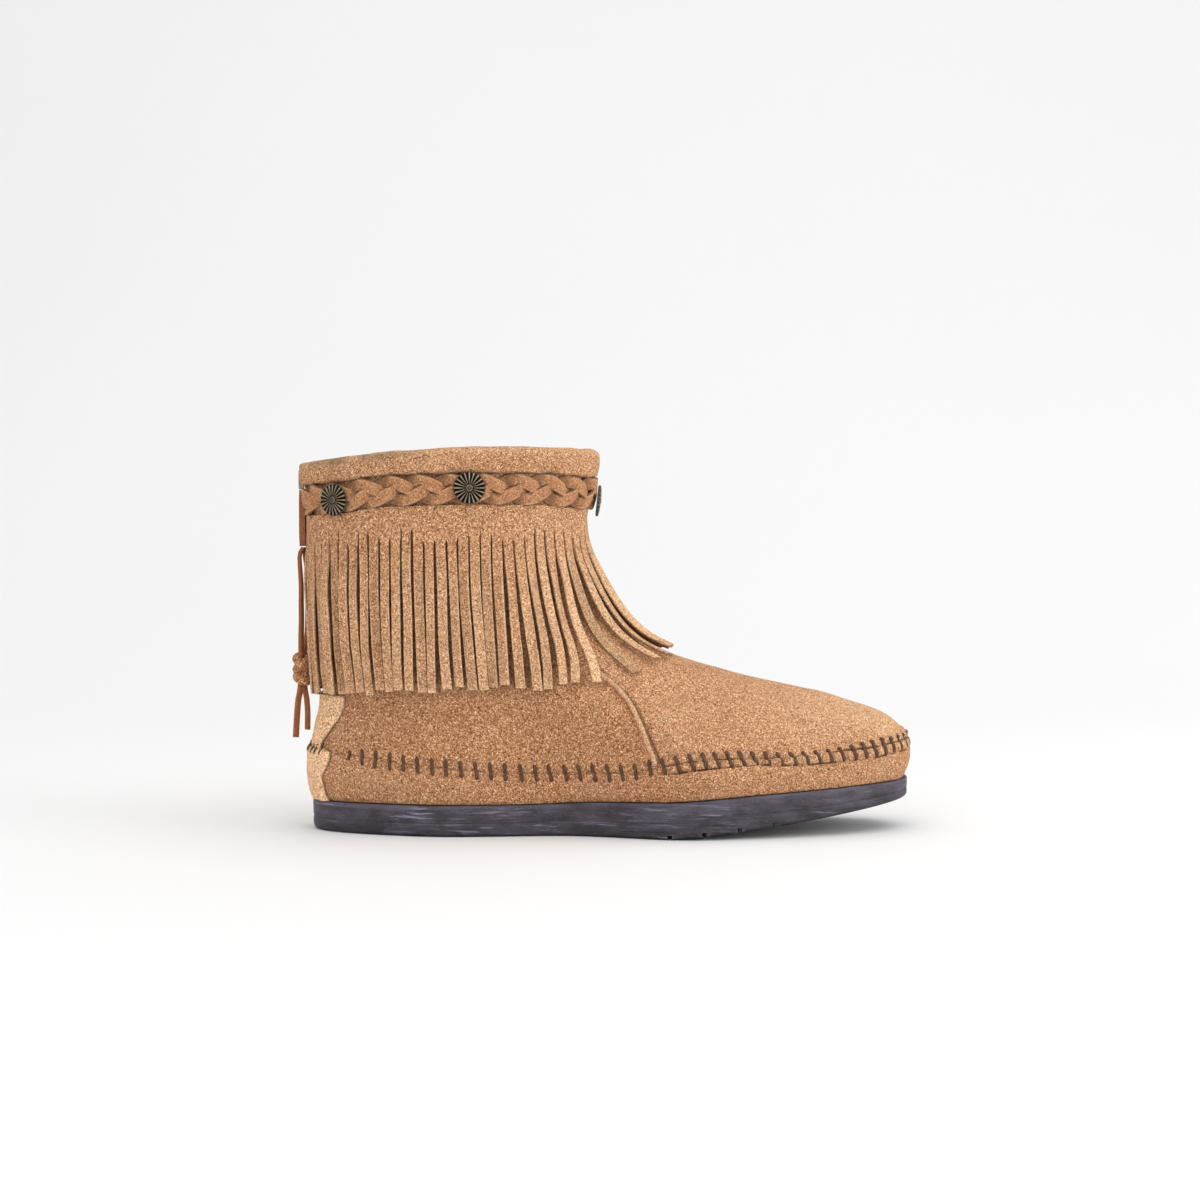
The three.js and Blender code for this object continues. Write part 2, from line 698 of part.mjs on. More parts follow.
// Braid under the collar band

const BRAID_STEPS_PER_PITCH = 4;
const BRAID_ROWS = 3;
const LOBE_LENGTH = 7.5;
const LOBE_WIDTH = 6.5;
const BRAID_LOBES = [
  { middle: 0.66, slant: -1, shift: 0 },
  { middle: 0.34, slant: 1, shift: 0.5 },
];

// The height on the braid at one angle, at a share of the way up its width.
function braidHeight(angle, up) {
  return bandLevel(angle) - CLEARANCE - BRAID_WIDTH * (1 - up);
}

// The raised strands: slanting lobes in two rows, half a pitch apart.
function braidRelief(length, up) {
  const lobe = ({ middle, slant, shift }) => {
    const nearest = Math.round(length / BRAID_PITCH - shift) + shift;
    const across = (up - middle) * BRAID_WIDTH;
    const along = length - nearest * BRAID_PITCH;
    const lengthwise = (along - slant * across) / LOBE_LENGTH;
    const sideways = (along * slant + across) / LOBE_WIDTH;
    return Math.sqrt(Math.max(0, 1 - lengthwise * lengthwise - sideways * sideways));
  };
  return Math.max(...BRAID_LOBES.map(lobe));
}

function braid() {
  const { total } = evenAngles(BAND_LEVEL, ZIP_FLANK, 1);
  const columns = Math.round(total / BRAID_PITCH) * BRAID_STEPS_PER_PITCH;
  const { angles } = evenAngles(BAND_LEVEL, ZIP_FLANK, columns);
  return sheetSolid({
    columns,
    rows: BRAID_ROWS,
    point: (c, r) => {
      const up = r / BRAID_ROWS;
      const angle = angles[c];
      const edge = r === 0 || r === BRAID_ROWS;
      const length = (c / BRAID_STEPS_PER_PITCH) * BRAID_PITCH;
      const relief = edge ? 0 : BRAID_RELIEF * braidRelief(length, up);
      return overlay(levelAtHeight(braidHeight(angle, up), angle), angle, BRAID_BASE + relief);
    },
  });
}

addPiece('braid', braid(), COLOURS.paleSuede);

// Conchos, round studs on the braid

function conchoShape() {
  const radius = CONCHO_DIAMETER / 2;
  const profile = [[0, 0], [1, 0], [1, 0.3], [0.8, 0.65], [0.22, 0.8], [0, 1]];
  const points = profile.map(([out, up]) => new THREE.Vector2(out * radius, up * CONCHO_HEIGHT));
  return new THREE.LatheGeometry(points, CONCHO_SIDES);
}

function placeConcho(place, side) {
  const height = braidHeight(Math.PI / 2, place.up);
  const angle = place.at < 1 ? angleAt(place.at * SHAFT_LENGTH, height, side === 'lateral') : Math.PI;
  const level = levelAtHeight(braidHeight(angle, place.up), angle);
  const out = upperNormal(level, angle);
  const overBraid = BRAID_BASE + BRAID_RELIEF + 2 * CLEARANCE;
  const overCollar = COLLAR_WALL + 2 * CLEARANCE;
  const name = place.at < 1 ? `concho_${place.name}_${side}` : `concho_${place.name}`;
  const piece = addPiece(name, conchoShape(), COLOURS.brass);
  piece.position.copy(onUpper(level, angle, Math.max(overBraid, overCollar)));
  piece.quaternion.setFromUnitVectors(vector(0, 1, 0), out);
}

for (const place of CONCHOS) {
  for (const side of place.sides) placeConcho(place, side);
}

// Fringe

const FRINGE_TOP = BAND_LEVEL - BRAID_WIDTH - 2 * CLEARANCE;
const FRINGE_ROWS = [0, FRINGE_BAND / FRINGE_DROP, 0.4, 0.7, 1];
const BAND_ROW = 1;

// The angle at which the upper is nearest to a place in plan, at one height.
function nearestAngle(x, y, height) {
  const turned = (half) => (y < 0 ? 2 * Math.PI - half : half);
  const at = (half) => upperPoint(levelAtHeight(height, turned(half)), turned(half));
  const step = 0.01;
  return turned(solve(step, Math.PI - step, 0, (half) => {
    const here = at(half);
    const ahead = at(half + step).sub(here);
    return ahead.x * (here.x - x) + ahead.y * (here.y - y);
  }));
}

// The middle of one strip at a share of the way down from the band's top: a seat on the upper
// and the way out of it. Strips hang straight down with a lean, and at the front they follow
// the instep.
function stripPlace(topAngle, strip, down) {
  const start = onUpper(levelAtHeight(FRINGE_TOP, topAngle), topAngle, CLEARANCE);
  const at = start.x / SHAFT_LENGTH;
  const drop = FRINGE_DROP * smoothCurve(FRINGE_STATIONS.at, FRINGE_STATIONS.drop, at);
  const lean = FRINGE_DROP * smoothCurve(FRINGE_STATIONS.at, FRINGE_STATIONS.lean, at);
  const height = braidHeight(topAngle, 0) - CLEARANCE - down * (drop + vary(strip, 1) * down);
  const x = start.x + lean * down * down;
  const hanging = nearestAngle(x, start.y, height);
  const angle = mix(hanging, topAngle, smoothstep(at, FOLLOW_START, 1));
  const level = levelAtHeight(height, angle);
  const out = upperNormal(level, angle);
  const seat = upperPoint(level, angle);
  const plumb = out.x * (x - seat.x) + out.y * (start.y - seat.y);
  const raise = clamp(plumb, CLEARANCE + FRINGE_SLACK * down, FRINGE_HANG);
  return { middle: seat.addScaledVector(out, raise), out };
}

function fringe() {
  const { angles } = evenAngles(FRINGE_TOP, ZIP_FLANK, STRIPS);
  const edges = (strip, down) => {
    const { middle, out } = stripPlace((angles[strip] + angles[strip + 1]) / 2, strip, down);
    const across = vector(-out.y, out.x, 0).normalize();
    return [1, -1].map((sign) => {
      const inner = middle.clone().addScaledVector(across, (sign * STRIP_WIDTH) / 2);
      return { outer: inner.clone().addScaledVector(out, STRIP_WALL), inner };
    });
  };
  const columns = [];
  for (let strip = 0; strip < STRIPS; strip += 1) {
    const rows = FRINGE_ROWS.map((down) => edges(strip, down));
    columns.push(rows.map((row) => row[0]), rows.map((row) => row[1]));
  }
  return sheetSolid({
    columns: 2 * STRIPS - 1,
    rows: FRINGE_ROWS.length - 1,
    has: (c, r) => r < BAND_ROW || c % 2 === 0,
    point: (c, r) => columns[c][r],
  });
}

addPiece('fringe', fringe(), COLOURS.suede);

// Zip

// A strip up the middle of the back, between two heights.
function backStrip(width, low, high, rows, raise, wall) {
  return sheetSolid({
    columns: 2,
    rows,
    point: (c, r) => {
      const height = mix(low, high, r / rows);
      const y = (width / 2) * (c - 1);
      const surface = upperPoint(levelAtHeight(height, 0), 0);
      const outer = vector(surface.x - raise - wall, y, surface.z);
      return { outer, inner: vector(surface.x - raise, y, surface.z) };
    },
  });
}

const BACK_RIM = upperPoint(LAST_SECTION, 0).z;
const TAPE_SINK = UPPER_WALL - CLEARANCE;
const TAPE_WIDTH = ZIP_GAP - 2 * CLEARANCE;
const ZIP_LOW = ZIP_BOTTOM + CLEARANCE;
const TEETH_RAISE = -TAPE_SINK + TAPE_WALL + CLEARANCE;
const SLIDER_RAISE = TEETH_RAISE + TEETH_WALL + CLEARANCE;

const TEETH_MARGIN = 2;
const ZIP_ROWS = 8;

const zipTape = backStrip(TAPE_WIDTH, ZIP_LOW, BACK_RIM, ZIP_ROWS, -TAPE_SINK, TAPE_WALL);
const zipTeeth = backStrip(
  TEETH_WIDTH, ZIP_LOW + TEETH_MARGIN, BACK_RIM - TEETH_MARGIN, ZIP_ROWS, TEETH_RAISE, TEETH_WALL,
);
addPiece('zip_tape', zipTape, COLOURS.tape);
addPiece('zip_teeth', zipTeeth, COLOURS.brass);

// A flat outline in Y and Z, made thick along X, with its outer face at a given X.
function backPlate(outline, thickness, outerX) {
  const shape = new THREE.Shape(outline.map(([y, z]) => new THREE.Vector2(y, z)));
  const plate = new THREE.ExtrudeGeometry(shape, { depth: thickness, bevelEnabled: false });
  plate.applyMatrix4(new THREE.Matrix4().makeBasis(vector(0, 1, 0), vector(0, 0, 1), vector(1, 0, 0)));
  plate.translate(outerX, 0, 0);
  return plate;
}

// The rearmost place of the shaft's back between two heights.
function backReach(low, high) {
  return Math.min(...[low, high].map((height) => upperPoint(levelAtHeight(height, 0), 0).x));
}

function zipSlider() {
  const half = SLIDER_WIDTH / 2;
  const low = SLIDER_CENTRE - SLIDER_LENGTH / 2;
  const outline = [[-0.6, 0], [0.6, 0], [1, 0.6], [0.8, 1], [-0.8, 1], [-1, 0.6]]
    .map(([side, up]) => [side * half, low + up * SLIDER_LENGTH]);
  const surface = backReach(low, low + SLIDER_LENGTH);
  return backPlate(outline, SLIDER_HEIGHT, surface - SLIDER_RAISE - SLIDER_HEIGHT);
}

// The folded suede strip that hangs from the slider.
function zipPull() {
  const half = PULL_WIDTH / 2;
  const top = SLIDER_CENTRE - SLIDER_LENGTH / 2 - CLEARANCE;
  const outline = [[-0.5, 0], [0.5, 0], [1, 0.25], [1, 0.8], [0.55, 1], [-0.55, 1], [-1, 0.8], [-1, 0.25]]
    .map(([side, up]) => [side * half, top - (1 - up) * PULL_LENGTH]);
  const surface = backReach(top - PULL_LENGTH, top);
  return backPlate(outline, PULL_WALL, surface - SLIDER_RAISE - CLEARANCE - PULL_WALL);
}

addPiece('zip_slider', zipSlider(), COLOURS.brass);
addPiece('zip_pull', zipPull(), COLOURS.lace);

// The lace of the pull, its knot and its ends

function laceTube(points) {
  const route = new THREE.CatmullRomCurve3(points.map(([x, y, z]) => vector(x, y, z)));
  const section = new THREE.Shape();
  const sides = 8;
  for (let i = 0; i < sides; i += 1) {
    const turn = (2 * Math.PI * i) / sides;
    const [x, y] = [Math.cos(turn), Math.sin(turn)].map((share) => (share * LACE_DIAMETER) / 2);
    if (i === 0) section.moveTo(x, y);
    else section.lineTo(x, y);
  }
  section.closePath();
  const steps = Math.max(3, Math.round(route.getLength() / (2 * LACE_DIAMETER)));
  return new THREE.ExtrudeGeometry(section, { steps, extrudePath: route, bevelEnabled: false });
}

function knot() {
  const profile = [[0, -1], [0.62, -0.92], [0.94, -0.5], [0.86, 0], [0.98, 0.42], [0.66, 0.9], [0, 1]];
  const points = profile.map(([out, up]) => new THREE.Vector2(out * KNOT_WIDTH / 2, up * KNOT_HEIGHT / 2));
  const shape = new THREE.LatheGeometry(points, 12);
  shape.rotateX(Math.PI / 2);
  shape.translate(KNOT_CENTRE.x, KNOT_CENTRE.y, KNOT_CENTRE.z);
  return shape;
}

for (const [name, points] of Object.entries(LACE_ROUTES)) addPiece(name, laceTube(points), COLOURS.lace);
addPiece('pull_knot', knot(), COLOURS.lace);

export default boot;
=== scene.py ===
import math

import bpy
import numpy as np
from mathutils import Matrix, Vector, noise


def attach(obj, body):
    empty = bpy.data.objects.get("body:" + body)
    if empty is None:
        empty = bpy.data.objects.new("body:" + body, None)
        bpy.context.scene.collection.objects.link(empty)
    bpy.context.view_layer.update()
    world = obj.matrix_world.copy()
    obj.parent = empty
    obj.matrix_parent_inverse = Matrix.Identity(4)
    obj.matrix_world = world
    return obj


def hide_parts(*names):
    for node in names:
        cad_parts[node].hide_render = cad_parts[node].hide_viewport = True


bl_info = {
    "name": "Fringed moccasin boot",
    "version": (1, 0, 0),
    "blender": (4, 5, 0),
    "location": "3D View > Sidebar > Boot",
    "description": "Dresses a suede moccasin boot with a fringe, a plait, studs and a back zip",
    "category": "Object",
}

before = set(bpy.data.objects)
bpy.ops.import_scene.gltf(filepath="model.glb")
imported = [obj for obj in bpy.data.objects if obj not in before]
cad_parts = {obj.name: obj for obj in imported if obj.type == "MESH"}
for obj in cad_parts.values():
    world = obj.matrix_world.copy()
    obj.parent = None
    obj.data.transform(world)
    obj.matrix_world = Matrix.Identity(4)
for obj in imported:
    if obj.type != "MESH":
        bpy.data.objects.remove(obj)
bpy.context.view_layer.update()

# Lengths are in millimetres from the back of the heel, and become metres when a mesh is made.
MM = 0.001
SOLE_LENGTH = 255
HEEL_SETBACK = 35
HEEL_THICKNESS = 12.8
TOE_SPRING = 13.6
SPRING_START = 0.59
SPRING_POWER = 1.25
SOLE_WELT = 1.5
SOLE_EDGE_ROUND = 2.2
MOULD_LINE_DEPTH = 0.4
GROOVE_WIDTH = 2
GROOVE_DEPTH = 1.6
GROOVE_SWEEP = 6
FOREFOOT_GROOVE_START = 157
FOREFOOT_GROOVE_PITCH = 14.5
FOREFOOT_GROOVE_REACH = 53
HEEL_GROOVE_PITCH = 8
HEEL_GROOVE_REACH = 19
HEEL_WIDTH = 62
WAIST_WIDTH = 56
BALL_WIDTH = 88
TOE_WIDTH = 59
SHAFT_WIDTH = 76
SHAFT_LENGTH = 119
SEAM_HEIGHT = 22
SEAM_START = 12.5
TOE_START = 146
BOOT_HEIGHT = 162
LAST_BEND = 4
UPPER_WALL = 1.8
CLEARANCE = 0.3
BACKSTAY_TOP = 58
BACKSTAY_WALL = 1
WELT_BOTTOM = 32.8
WELT_TOP = 68
COLLAR_DEPTH = 14
COLLAR_BACK_DROP = 1.5
COLLAR_INSIDE = 9
COLLAR_WALL = 2.2
COLLAR_LINING = 0.1
BRAID_WIDTH = 12.5
BRAID_PITCH = 12.8
BRAID_BASE = 1.6
BRAID_RELIEF = 2
CONCHO_HEIGHT = 2.2
STRIPS = 64
FRINGE_BAND = 8
FRINGE_DROP = 72
FRINGE_TOP = BOOT_HEIGHT - COLLAR_DEPTH - COLLAR_BACK_DROP - BRAID_WIDTH - 2 * CLEARANCE
FRINGE_SLACK = 1.4
FRINGE_HANG = 4
FOLLOW_START = 0.86
ZIP_BOTTOM = 60
ZIP_GAP = 6
ZIP_FLANK = 9
KNOT_CENTRE = (-4.6, 0, 67.5)

# The sole's thickness, as shares of the heel's, at shares of its length.
SOLE_STATIONS = [0, 0.15, 0.35, 0.5, 0.6, 0.71, 0.8, 0.88, 0.94, 1]
SOLE_THICK = [1, 1.02, 1.03, 1.15, 1.2, 1.14, 1.02, 0.88, 0.76, 0.64]
# Where along the foot its widths are given, how round its outline is, and how its middle line
# bends, with the bend to the inner side above 0.
WIDTH_STATIONS = [0, 0.17, 0.42, 0.66, 0.9, 1]
FOOT_ROUND = 2.5
BEND_STATIONS = [0, 0.42, 0.66, 0.86, 1]
BEND_SHARES = [0, -1, -0.5, 0.35, 1]

# Sections of the upper, from the edge on the sole to the rim. Columns: back, front, back height,
# front height, dip, half widths at heel, waist, ball and toe, roundness at back and front,
# bend, and leg, which is 0 on the foot and 1 on the shaft.
SECTION_ROWS = {
    "feather": [0.012, 0.99, 0, 0, 0, 0.98, 0.96, 0.98, 1, 2.5, 2.5, 1, 0],
    "swell": [0, 1, 0.2, 0.2, 0.07, 1.02, 1.02, 1.02, 1.03, 2.5, 2.5, 1, 0],
    "belly": [-0.008, 1.008, 0.56, 0.52, 0.22, 1.05, 1.06, 1.05, 1.05, 2.5, 2.5, 1, 0],
    "lip": [-0.006, 1.004, 0.92, 0.85, 0.37, 1.05, 1.08, 1.05, 1.05, 2.5, 2.5, 1, 0],
    "seam": [0.004, 0.985, 1, 0.9, 0.4, 1.03, 1.06, 1.03, 1.02, 2.5, 2.5, 1, 0],
    "toe": [0.014, 0.962, 1.045, 1.015, 0.34, 1, 1.08, 1.02, 0.99, 2.5, 2.45, 0.95, 0],
    "toe_top": [0.022, 0.917, 1.085, 1.056, 0.32, 0.98, 1.06, 1.01, 0.95, 2.5, 2.4, 0.9, 0.1],
    "vamp_1": [0.03, 0.84, 1.12, 1.1, 0.28, 0.96, 1.03, 1, 0.92, 2.45, 2.35, 0.8, 0.25],
    "vamp_2": [0.034, 0.745, 1.155, 1.145, 0.23, 0.945, 1, 0.98, 0.89, 2.4, 2.25, 0.7, 0.4],
    "vamp_3": [0.034, 0.63, 1.19, 1.187, 0.18, 0.93, 0.96, 0.945, 0.86, 2.4, 2.15, 0.6, 0.55],
    "vamp_4": [0.032, 0.515, 1.225, 1.222, 0.13, 0.925, 0.925, 0.91, 0.84, 2.4, 2.1, 0.5, 0.7],
    "instep_1": [0.022, 0.315, 1.31, 1.29, 0.05, 0.93, 0.905, 0.875, 0.81, 2.4, 2.05, 0.35, 0.85],
    "instep_2": [0.013, 0.175, 1.4, 1.36, 0, 0.945, 0.905, 0.88, 0.8, 2.4, 2.05, 0.2, 0.95],
    "ankle": [0.004, 0.08, 1.505, 1.465, 0, 0.965, 0.92, 0.9, 0.815, 2.4, 2.1, 0.1, 1],
    "leg_1": [-0.004, -0.002, 1.655, 1.635, 0, 0.98, 0.955, 0.93, 0.87, 2.4, 2.15, 0, 1],
    "leg_2": [-0.005, -0.024, 1.78, 1.775, -0.1, 0.985, 0.97, 0.955, 0.91, 2.4, 2.25, 0, 1],
    "leg_3": [-0.01, -0.006, 1.86, 1.875, -0.16, 0.995, 0.98, 0.965, 0.93, 2.4, 2.3, 0, 1],
    "rim": [-0.024, 0.01, 1.955, 2, -0.16, 1.01, 1, 0.98, 0.95, 2.4, 2.3, 0, 1],
}
SEAM_ROW = list(SECTION_ROWS).index("seam")
LAST_ROW = len(SECTION_ROWS) - 1

# The line of stitches runs above or below the fold of the wall, by distances from the heel.
SEAM_STATIONS = [0, 135, 151, 164, 175, 185, 195, 206, 216, 227, 236, 255]
SEAM_SHIFTS = [0, 0.3, 3.2, 4.1, 3.4, 2.1, 0.6, -0.9, -1.9, -2.9, -3.6, -3.8]

# Half widths of the heel strip at shares of its height, cut wavy.
BACKSTAY_UP = [0, 0.12, 0.22, 0.33, 0.43, 0.47, 0.51, 0.6, 0.69, 0.78, 1]
BACKSTAY_HALF = [16, 16.1, 16.3, 18.4, 19.2, 17.1, 13.2, 14.6, 16.3, 17.6, 18.8]

# How much the collar's lower edge and the plait rise at the sides, along the shaft.
BAND_STATIONS = [0, 0.1, 0.3, 0.57, 0.84, 1]
BAND_RISES = [0.6, 1.1, 3.9, 4.4, 3.9, 2.2]
# The piped seam beside the vamp, at shares of its height: how far along from the leg to the toe.
WELT_UP = [0, 0.22, 0.46, 0.69, 0.91, 1]
WELT_ALONG = [0.197, 0.176, 0.151, 0.121, 0.064, 0.03]
# How long the strips are and how far forward they hang, as shares of the drop, along the shaft.
FRINGE_STATIONS = [0, 0.15, 0.35, 0.55, 0.69, 0.75, 0.86, 1]
FRINGE_DROPS = [1.03, 1.02, 1, 1, 0.99, 1, 0.99, 0.82]
FRINGE_LEANS = [0.04, 0.015, 0.02, 0.05, 0.068, 0.13, 0.155, 0.23]

# Studs: name, place along the shaft from its back, height as a share of the plait's width, sides.
CONCHOS = [
    ("rear", 0.12, 0.45, ("lateral", "medial")),
    ("middle", 0.575, 0.55, ("lateral", "medial")),
    ("front", 1, 0.3, ("lateral",)),
]

# The doubled lace of the zip pull, each strand from the eye of the pull through the knot to its end.
LACE_ROUTES = {
    "pull_strand_1": [
        (-3.9, -1.7, 120), (-5.4, -2.1, 117), (-5.2, -2.3, 111), (-4.8, -2.3, 104), (-4.8, -2.3, 96),
        (-4.8, -2.2, 88), (-5, -2, 81), (-5, -1.9, 75.2), (-5.1, -1.6, 67.5), (-5.4, -1.8, 59.8),
        (-6.4, -2.2, 54), (-7, -2.4, 46), (-7.4, -2.4, 38.8),
    ],
    "pull_strand_2": [
        (-3.9, 1.7, 120), (-3.6, 1.9, 116), (-2.9, 2, 110), (-2.6, 2, 102), (-2.6, 2, 94),
        (-2.7, 2, 86), (-3.2, 1.9, 80), (-3.9, 1.8, 75.2), (-4, 1.6, 67.5), (-3.9, 1.8, 59.8),
        (-3.2, 2.2, 55), (-2.8, 2.4, 49), (-2.9, 2.4, 41.6),
    ],
}

# Soft creases of the leather, the same on both sides, each from one place to another, as distances
# from the back of the heel and heights. Depth is in millimetres, and a ridge has a negative one.
CREASES = [
    {"start": (52, 58), "end": (96, 44), "width": 7, "depth": 0.8},
    {"start": (88, 60), "end": (92, 36), "width": 9, "depth": 0.8},
    {"start": (112, 60), "end": (118, 38), "width": 10, "depth": -1.0},
    {"start": (30, 50), "end": (74, 46), "width": 5, "depth": 0.6},
    {"start": (134, 60), "end": (139, 36), "width": 5, "depth": 1.0},
    {"start": (150, 62), "end": (176, 44), "width": 8, "depth": 0.7},
    {"start": (176, 58), "end": (206, 44), "width": 9, "depth": -0.5},
    {"start": (196, 52), "end": (214, 38), "width": 6, "depth": 0.4},
    {"start": (228, 49), "end": (240, 42), "width": 5, "depth": -0.4},
    {"start": (36, 47), "end": (48, 43), "width": 1.7, "depth": 0.45},
    {"start": (50, 41), "end": (60, 40), "width": 1.6, "depth": 0.35},
]


def linear(red, green, blue):
    """A screen colour as the shader's linear one."""
    def channel(value):
        share = value / 255
        return share / 12.92 if share <= 0.04045 else ((share + 0.055) / 1.055) ** 2.4
    return (channel(red), channel(green), channel(blue), 1.0)


def size_setting(name, description, metres):
    """A length that a user may change."""
    return bpy.props.FloatProperty(name=name, description=description, default=metres, unit="LENGTH")


def colour_setting(name, description, red, green, blue):
    """A colour that a user may change, given as a screen colour."""
    return bpy.props.FloatVectorProperty(
        name=name, description=description, subtype="COLOR", size=4, default=linear(red, green, blue))


class BootSizes(bpy.types.PropertyGroup):
    """Sizes of the boot's trim"""
    strip_width: size_setting("Strip width", "Width of one strip of the fringe", 0.0038)
    strip_wall: size_setting("Strip wall", "Thickness of the fringe's suede", 0.0013)
    stitch_pitch: size_setting("Stitch pitch", "From one stitch of the moccasin seam to the next", 0.0062)
    stitch_length: size_setting("Stitch length", "Length of one stitch of the moccasin seam", 0.0081)
    stitch_width: size_setting("Stitch width", "Width of the thread", 0.0017)
    strand_width: size_setting("Strand width", "Width of one strand of the plait", 0.0058)
    lace_diameter: size_setting("Lace width", "Width of the zip pull's lace", 0.0028)
    concho_diameter: size_setting("Stud diameter", "Diameter of a stud", 0.0133)


class BootColours(bpy.types.PropertyGroup):
    """Colours of the boot's materials"""
    suede: colour_setting("Suede", "Quarters and fringe", 163, 101, 60)
    # Also lends the fringe's painted light on its front strips and painted highlight on its cut edges.
    pale_suede: colour_setting("Pale suede", "Toe, heel strip and cut edges", 222, 180, 140)
    # Its use is painted shade: in the seam's grooves, beside the piping, under and behind the fringe,
    # between the plait's strands and along the heel strip's edges.
    soil: colour_setting("Soil", "Creases, stitch holes and dirt", 84, 60, 46)
    # Also the painted shade along the collar band's lower edge.
    dirt: colour_setting("Dirt", "Handled edge of the collar", 104, 92, 70)
    thread: colour_setting("Thread", "Stitches of the moccasin seam", 82, 54, 34)
    lace: colour_setting("Lace", "Zip pull and its lace", 160, 106, 74)
    lining: colour_setting("Lining", "Inside of the upper", 168, 128, 94)
    rubber: colour_setting("Rubber", "Sole", 46, 38, 43)
    rubber_scuff: colour_setting("Rubber scuff", "Rubbed places of the sole", 100, 94, 108)
    brass: colour_setting("Brass", "Studs, zip teeth and slider", 172, 156, 132)
    tape: colour_setting("Zip tape", "Woven tape of the zip", 120, 84, 60)


class BootStage(bpy.types.PropertyGroup):
    """Camera and floor"""
    camera_distance: size_setting("Camera distance", "From the boot's middle", 1.2)
    camera_height: size_setting("Camera height", "Above the floor", 0.16)
    camera_across: size_setting("Camera place", "In front of the heel", 0.088)
    camera_tilt: bpy.props.FloatProperty(
        name="Camera tilt", description="Downward tilt", default=math.radians(2.98), unit="ROTATION")
    camera_lens: bpy.props.FloatProperty(
        name="Lens", description="Focal length on a 36 mm sensor", default=84.1)
    floor: bpy.props.FloatVectorProperty(
        name="Floor", description="Colour of the floor", subtype="COLOR", size=4,
        default=(0.86, 0.86, 0.86, 1))


# The boot's surfaces, worked out for many places at once


def smooth_curve(stations, values, at):
    """A curve through values at stations that never swings past them."""
    at = np.asarray(at, float)
    shape = at.shape
    at = np.clip(at.ravel(), stations[0], stations[-1])
    rows = np.stack([np.broadcast_to(np.asarray(value, float).ravel(), at.shape) for value in values])
    spans = np.diff(np.asarray(stations, float))[:, None]
    slopes = np.diff(rows, axis=0) / spans
    product = slopes[:-1] * slopes[1:]
    total = slopes[:-1] + slopes[1:]
    inner = np.where(product > 0, 2 * product / np.where(total == 0, 1, total), 0)
    still = np.zeros((1, at.size))
    tangents = np.concatenate([still, inner, still])
    left = np.clip(np.searchsorted(stations, at, side="left") - 1, 0, len(stations) - 2)
    every = np.arange(at.size)
    span = spans[left, 0]
    t = (at - np.asarray(stations, float)[left]) / span
    rise = t * t * (3 - 2 * t)
    start = rows[left, every]
    end = rows[left + 1, every]
    curve = start + (end - start) * rise
    curve += t * (1 - t) ** 2 * span * tangents[left, every]
    curve += t * t * (t - 1) * span * tangents[left + 1, every]
    return curve.reshape(shape)


def smoothstep(value, low, high):
    share = np.clip((value - low) / (high - low), 0, 1)
    return share * share * (3 - 2 * share)


def bump(distance, width):
    """A soft bump, 1 in the middle."""
    return np.exp(-(distance / width) ** 2)


def vary(number, salt):
    """A repeatable small variation between -1 and 1."""
    wave = np.sin(np.asarray(number, float) * 12.9898 + salt * 78.233) * 43758.5453
    return 2 * (wave - np.floor(wave)) - 1


def rough(points, size, salt):
    """Soft noise at points in millimetres, with lumps of a given size."""
    shift = Vector((salt * 13.7, salt * 5.1, salt * 9.3))
    flat = points.reshape(-1, 3) / size
    values = np.fromiter((noise.noise(Vector(point) + shift) for point in flat), float, len(flat))
    return values.reshape(points.shape[:-1])


def sole_bottom(x):
    past = np.clip((x / SOLE_LENGTH - SPRING_START) / (1 - SPRING_START), 0, 1)
    return TOE_SPRING * past ** SPRING_POWER


def sole_top(x):
    return sole_bottom(x) + HEEL_THICKNESS * smooth_curve(SOLE_STATIONS, SOLE_THICK, x / SOLE_LENGTH)


RIM_HEIGHT = BOOT_HEIGHT - COLLAR_WALL - CLEARANCE
SEAM_LEVEL = HEEL_THICKNESS + CLEARANCE + SEAM_HEIGHT


def read_section(row):
    """One row of the table with its shares turned into lengths."""
    def height(level):
        if level <= 1:
            return level * SEAM_HEIGHT
        return SEAM_HEIGHT + (level - 1) * (RIM_HEIGHT - SEAM_LEVEL)

    back, front, back_up, front_up, dip, *widths, back_round, front_round, bend, leg = row
    halves = []
    for share, width, station in zip(
            widths, (HEEL_WIDTH, WAIST_WIDTH, BALL_WIDTH, TOE_WIDTH), WIDTH_STATIONS[1:5]):
        sine = 2 * math.sqrt(station * (1 - station))
        foot = width / 2 / sine ** (2 / FOOT_ROUND)
        halves.append(share * (foot + (SHAFT_WIDTH / 2 - foot) * leg))
    return [
        back * SHAFT_LENGTH, SHAFT_LENGTH + front * (SOLE_LENGTH - SHAFT_LENGTH), height(back_up),
        height(front_up), dip * SEAM_HEIGHT, *halves, back_round, front_round, bend * LAST_BEND, leg,
    ]


SECTIONS = np.array([read_section(row) for row in SECTION_ROWS.values()])


def section_at(level):
    """Sections between the rows of the table, on a curve through the rows."""
    place = np.clip(level, 0, LAST_ROW)
    low = np.minimum(place.astype(int), LAST_ROW - 1)
    t = (place - low)[:, None]
    start, end = SECTIONS[low], SECTIONS[low + 1]
    leave = (end - SECTIONS[np.maximum(low - 1, 0)]) / 2
    arrive = (SECTIONS[np.minimum(low + 2, LAST_ROW)] - start) / 2
    rise = t * t * (3 - 2 * t)
    return start + (end - start) * rise + t * (1 - t) ** 2 * leave - t * t * (1 - t) * arrive


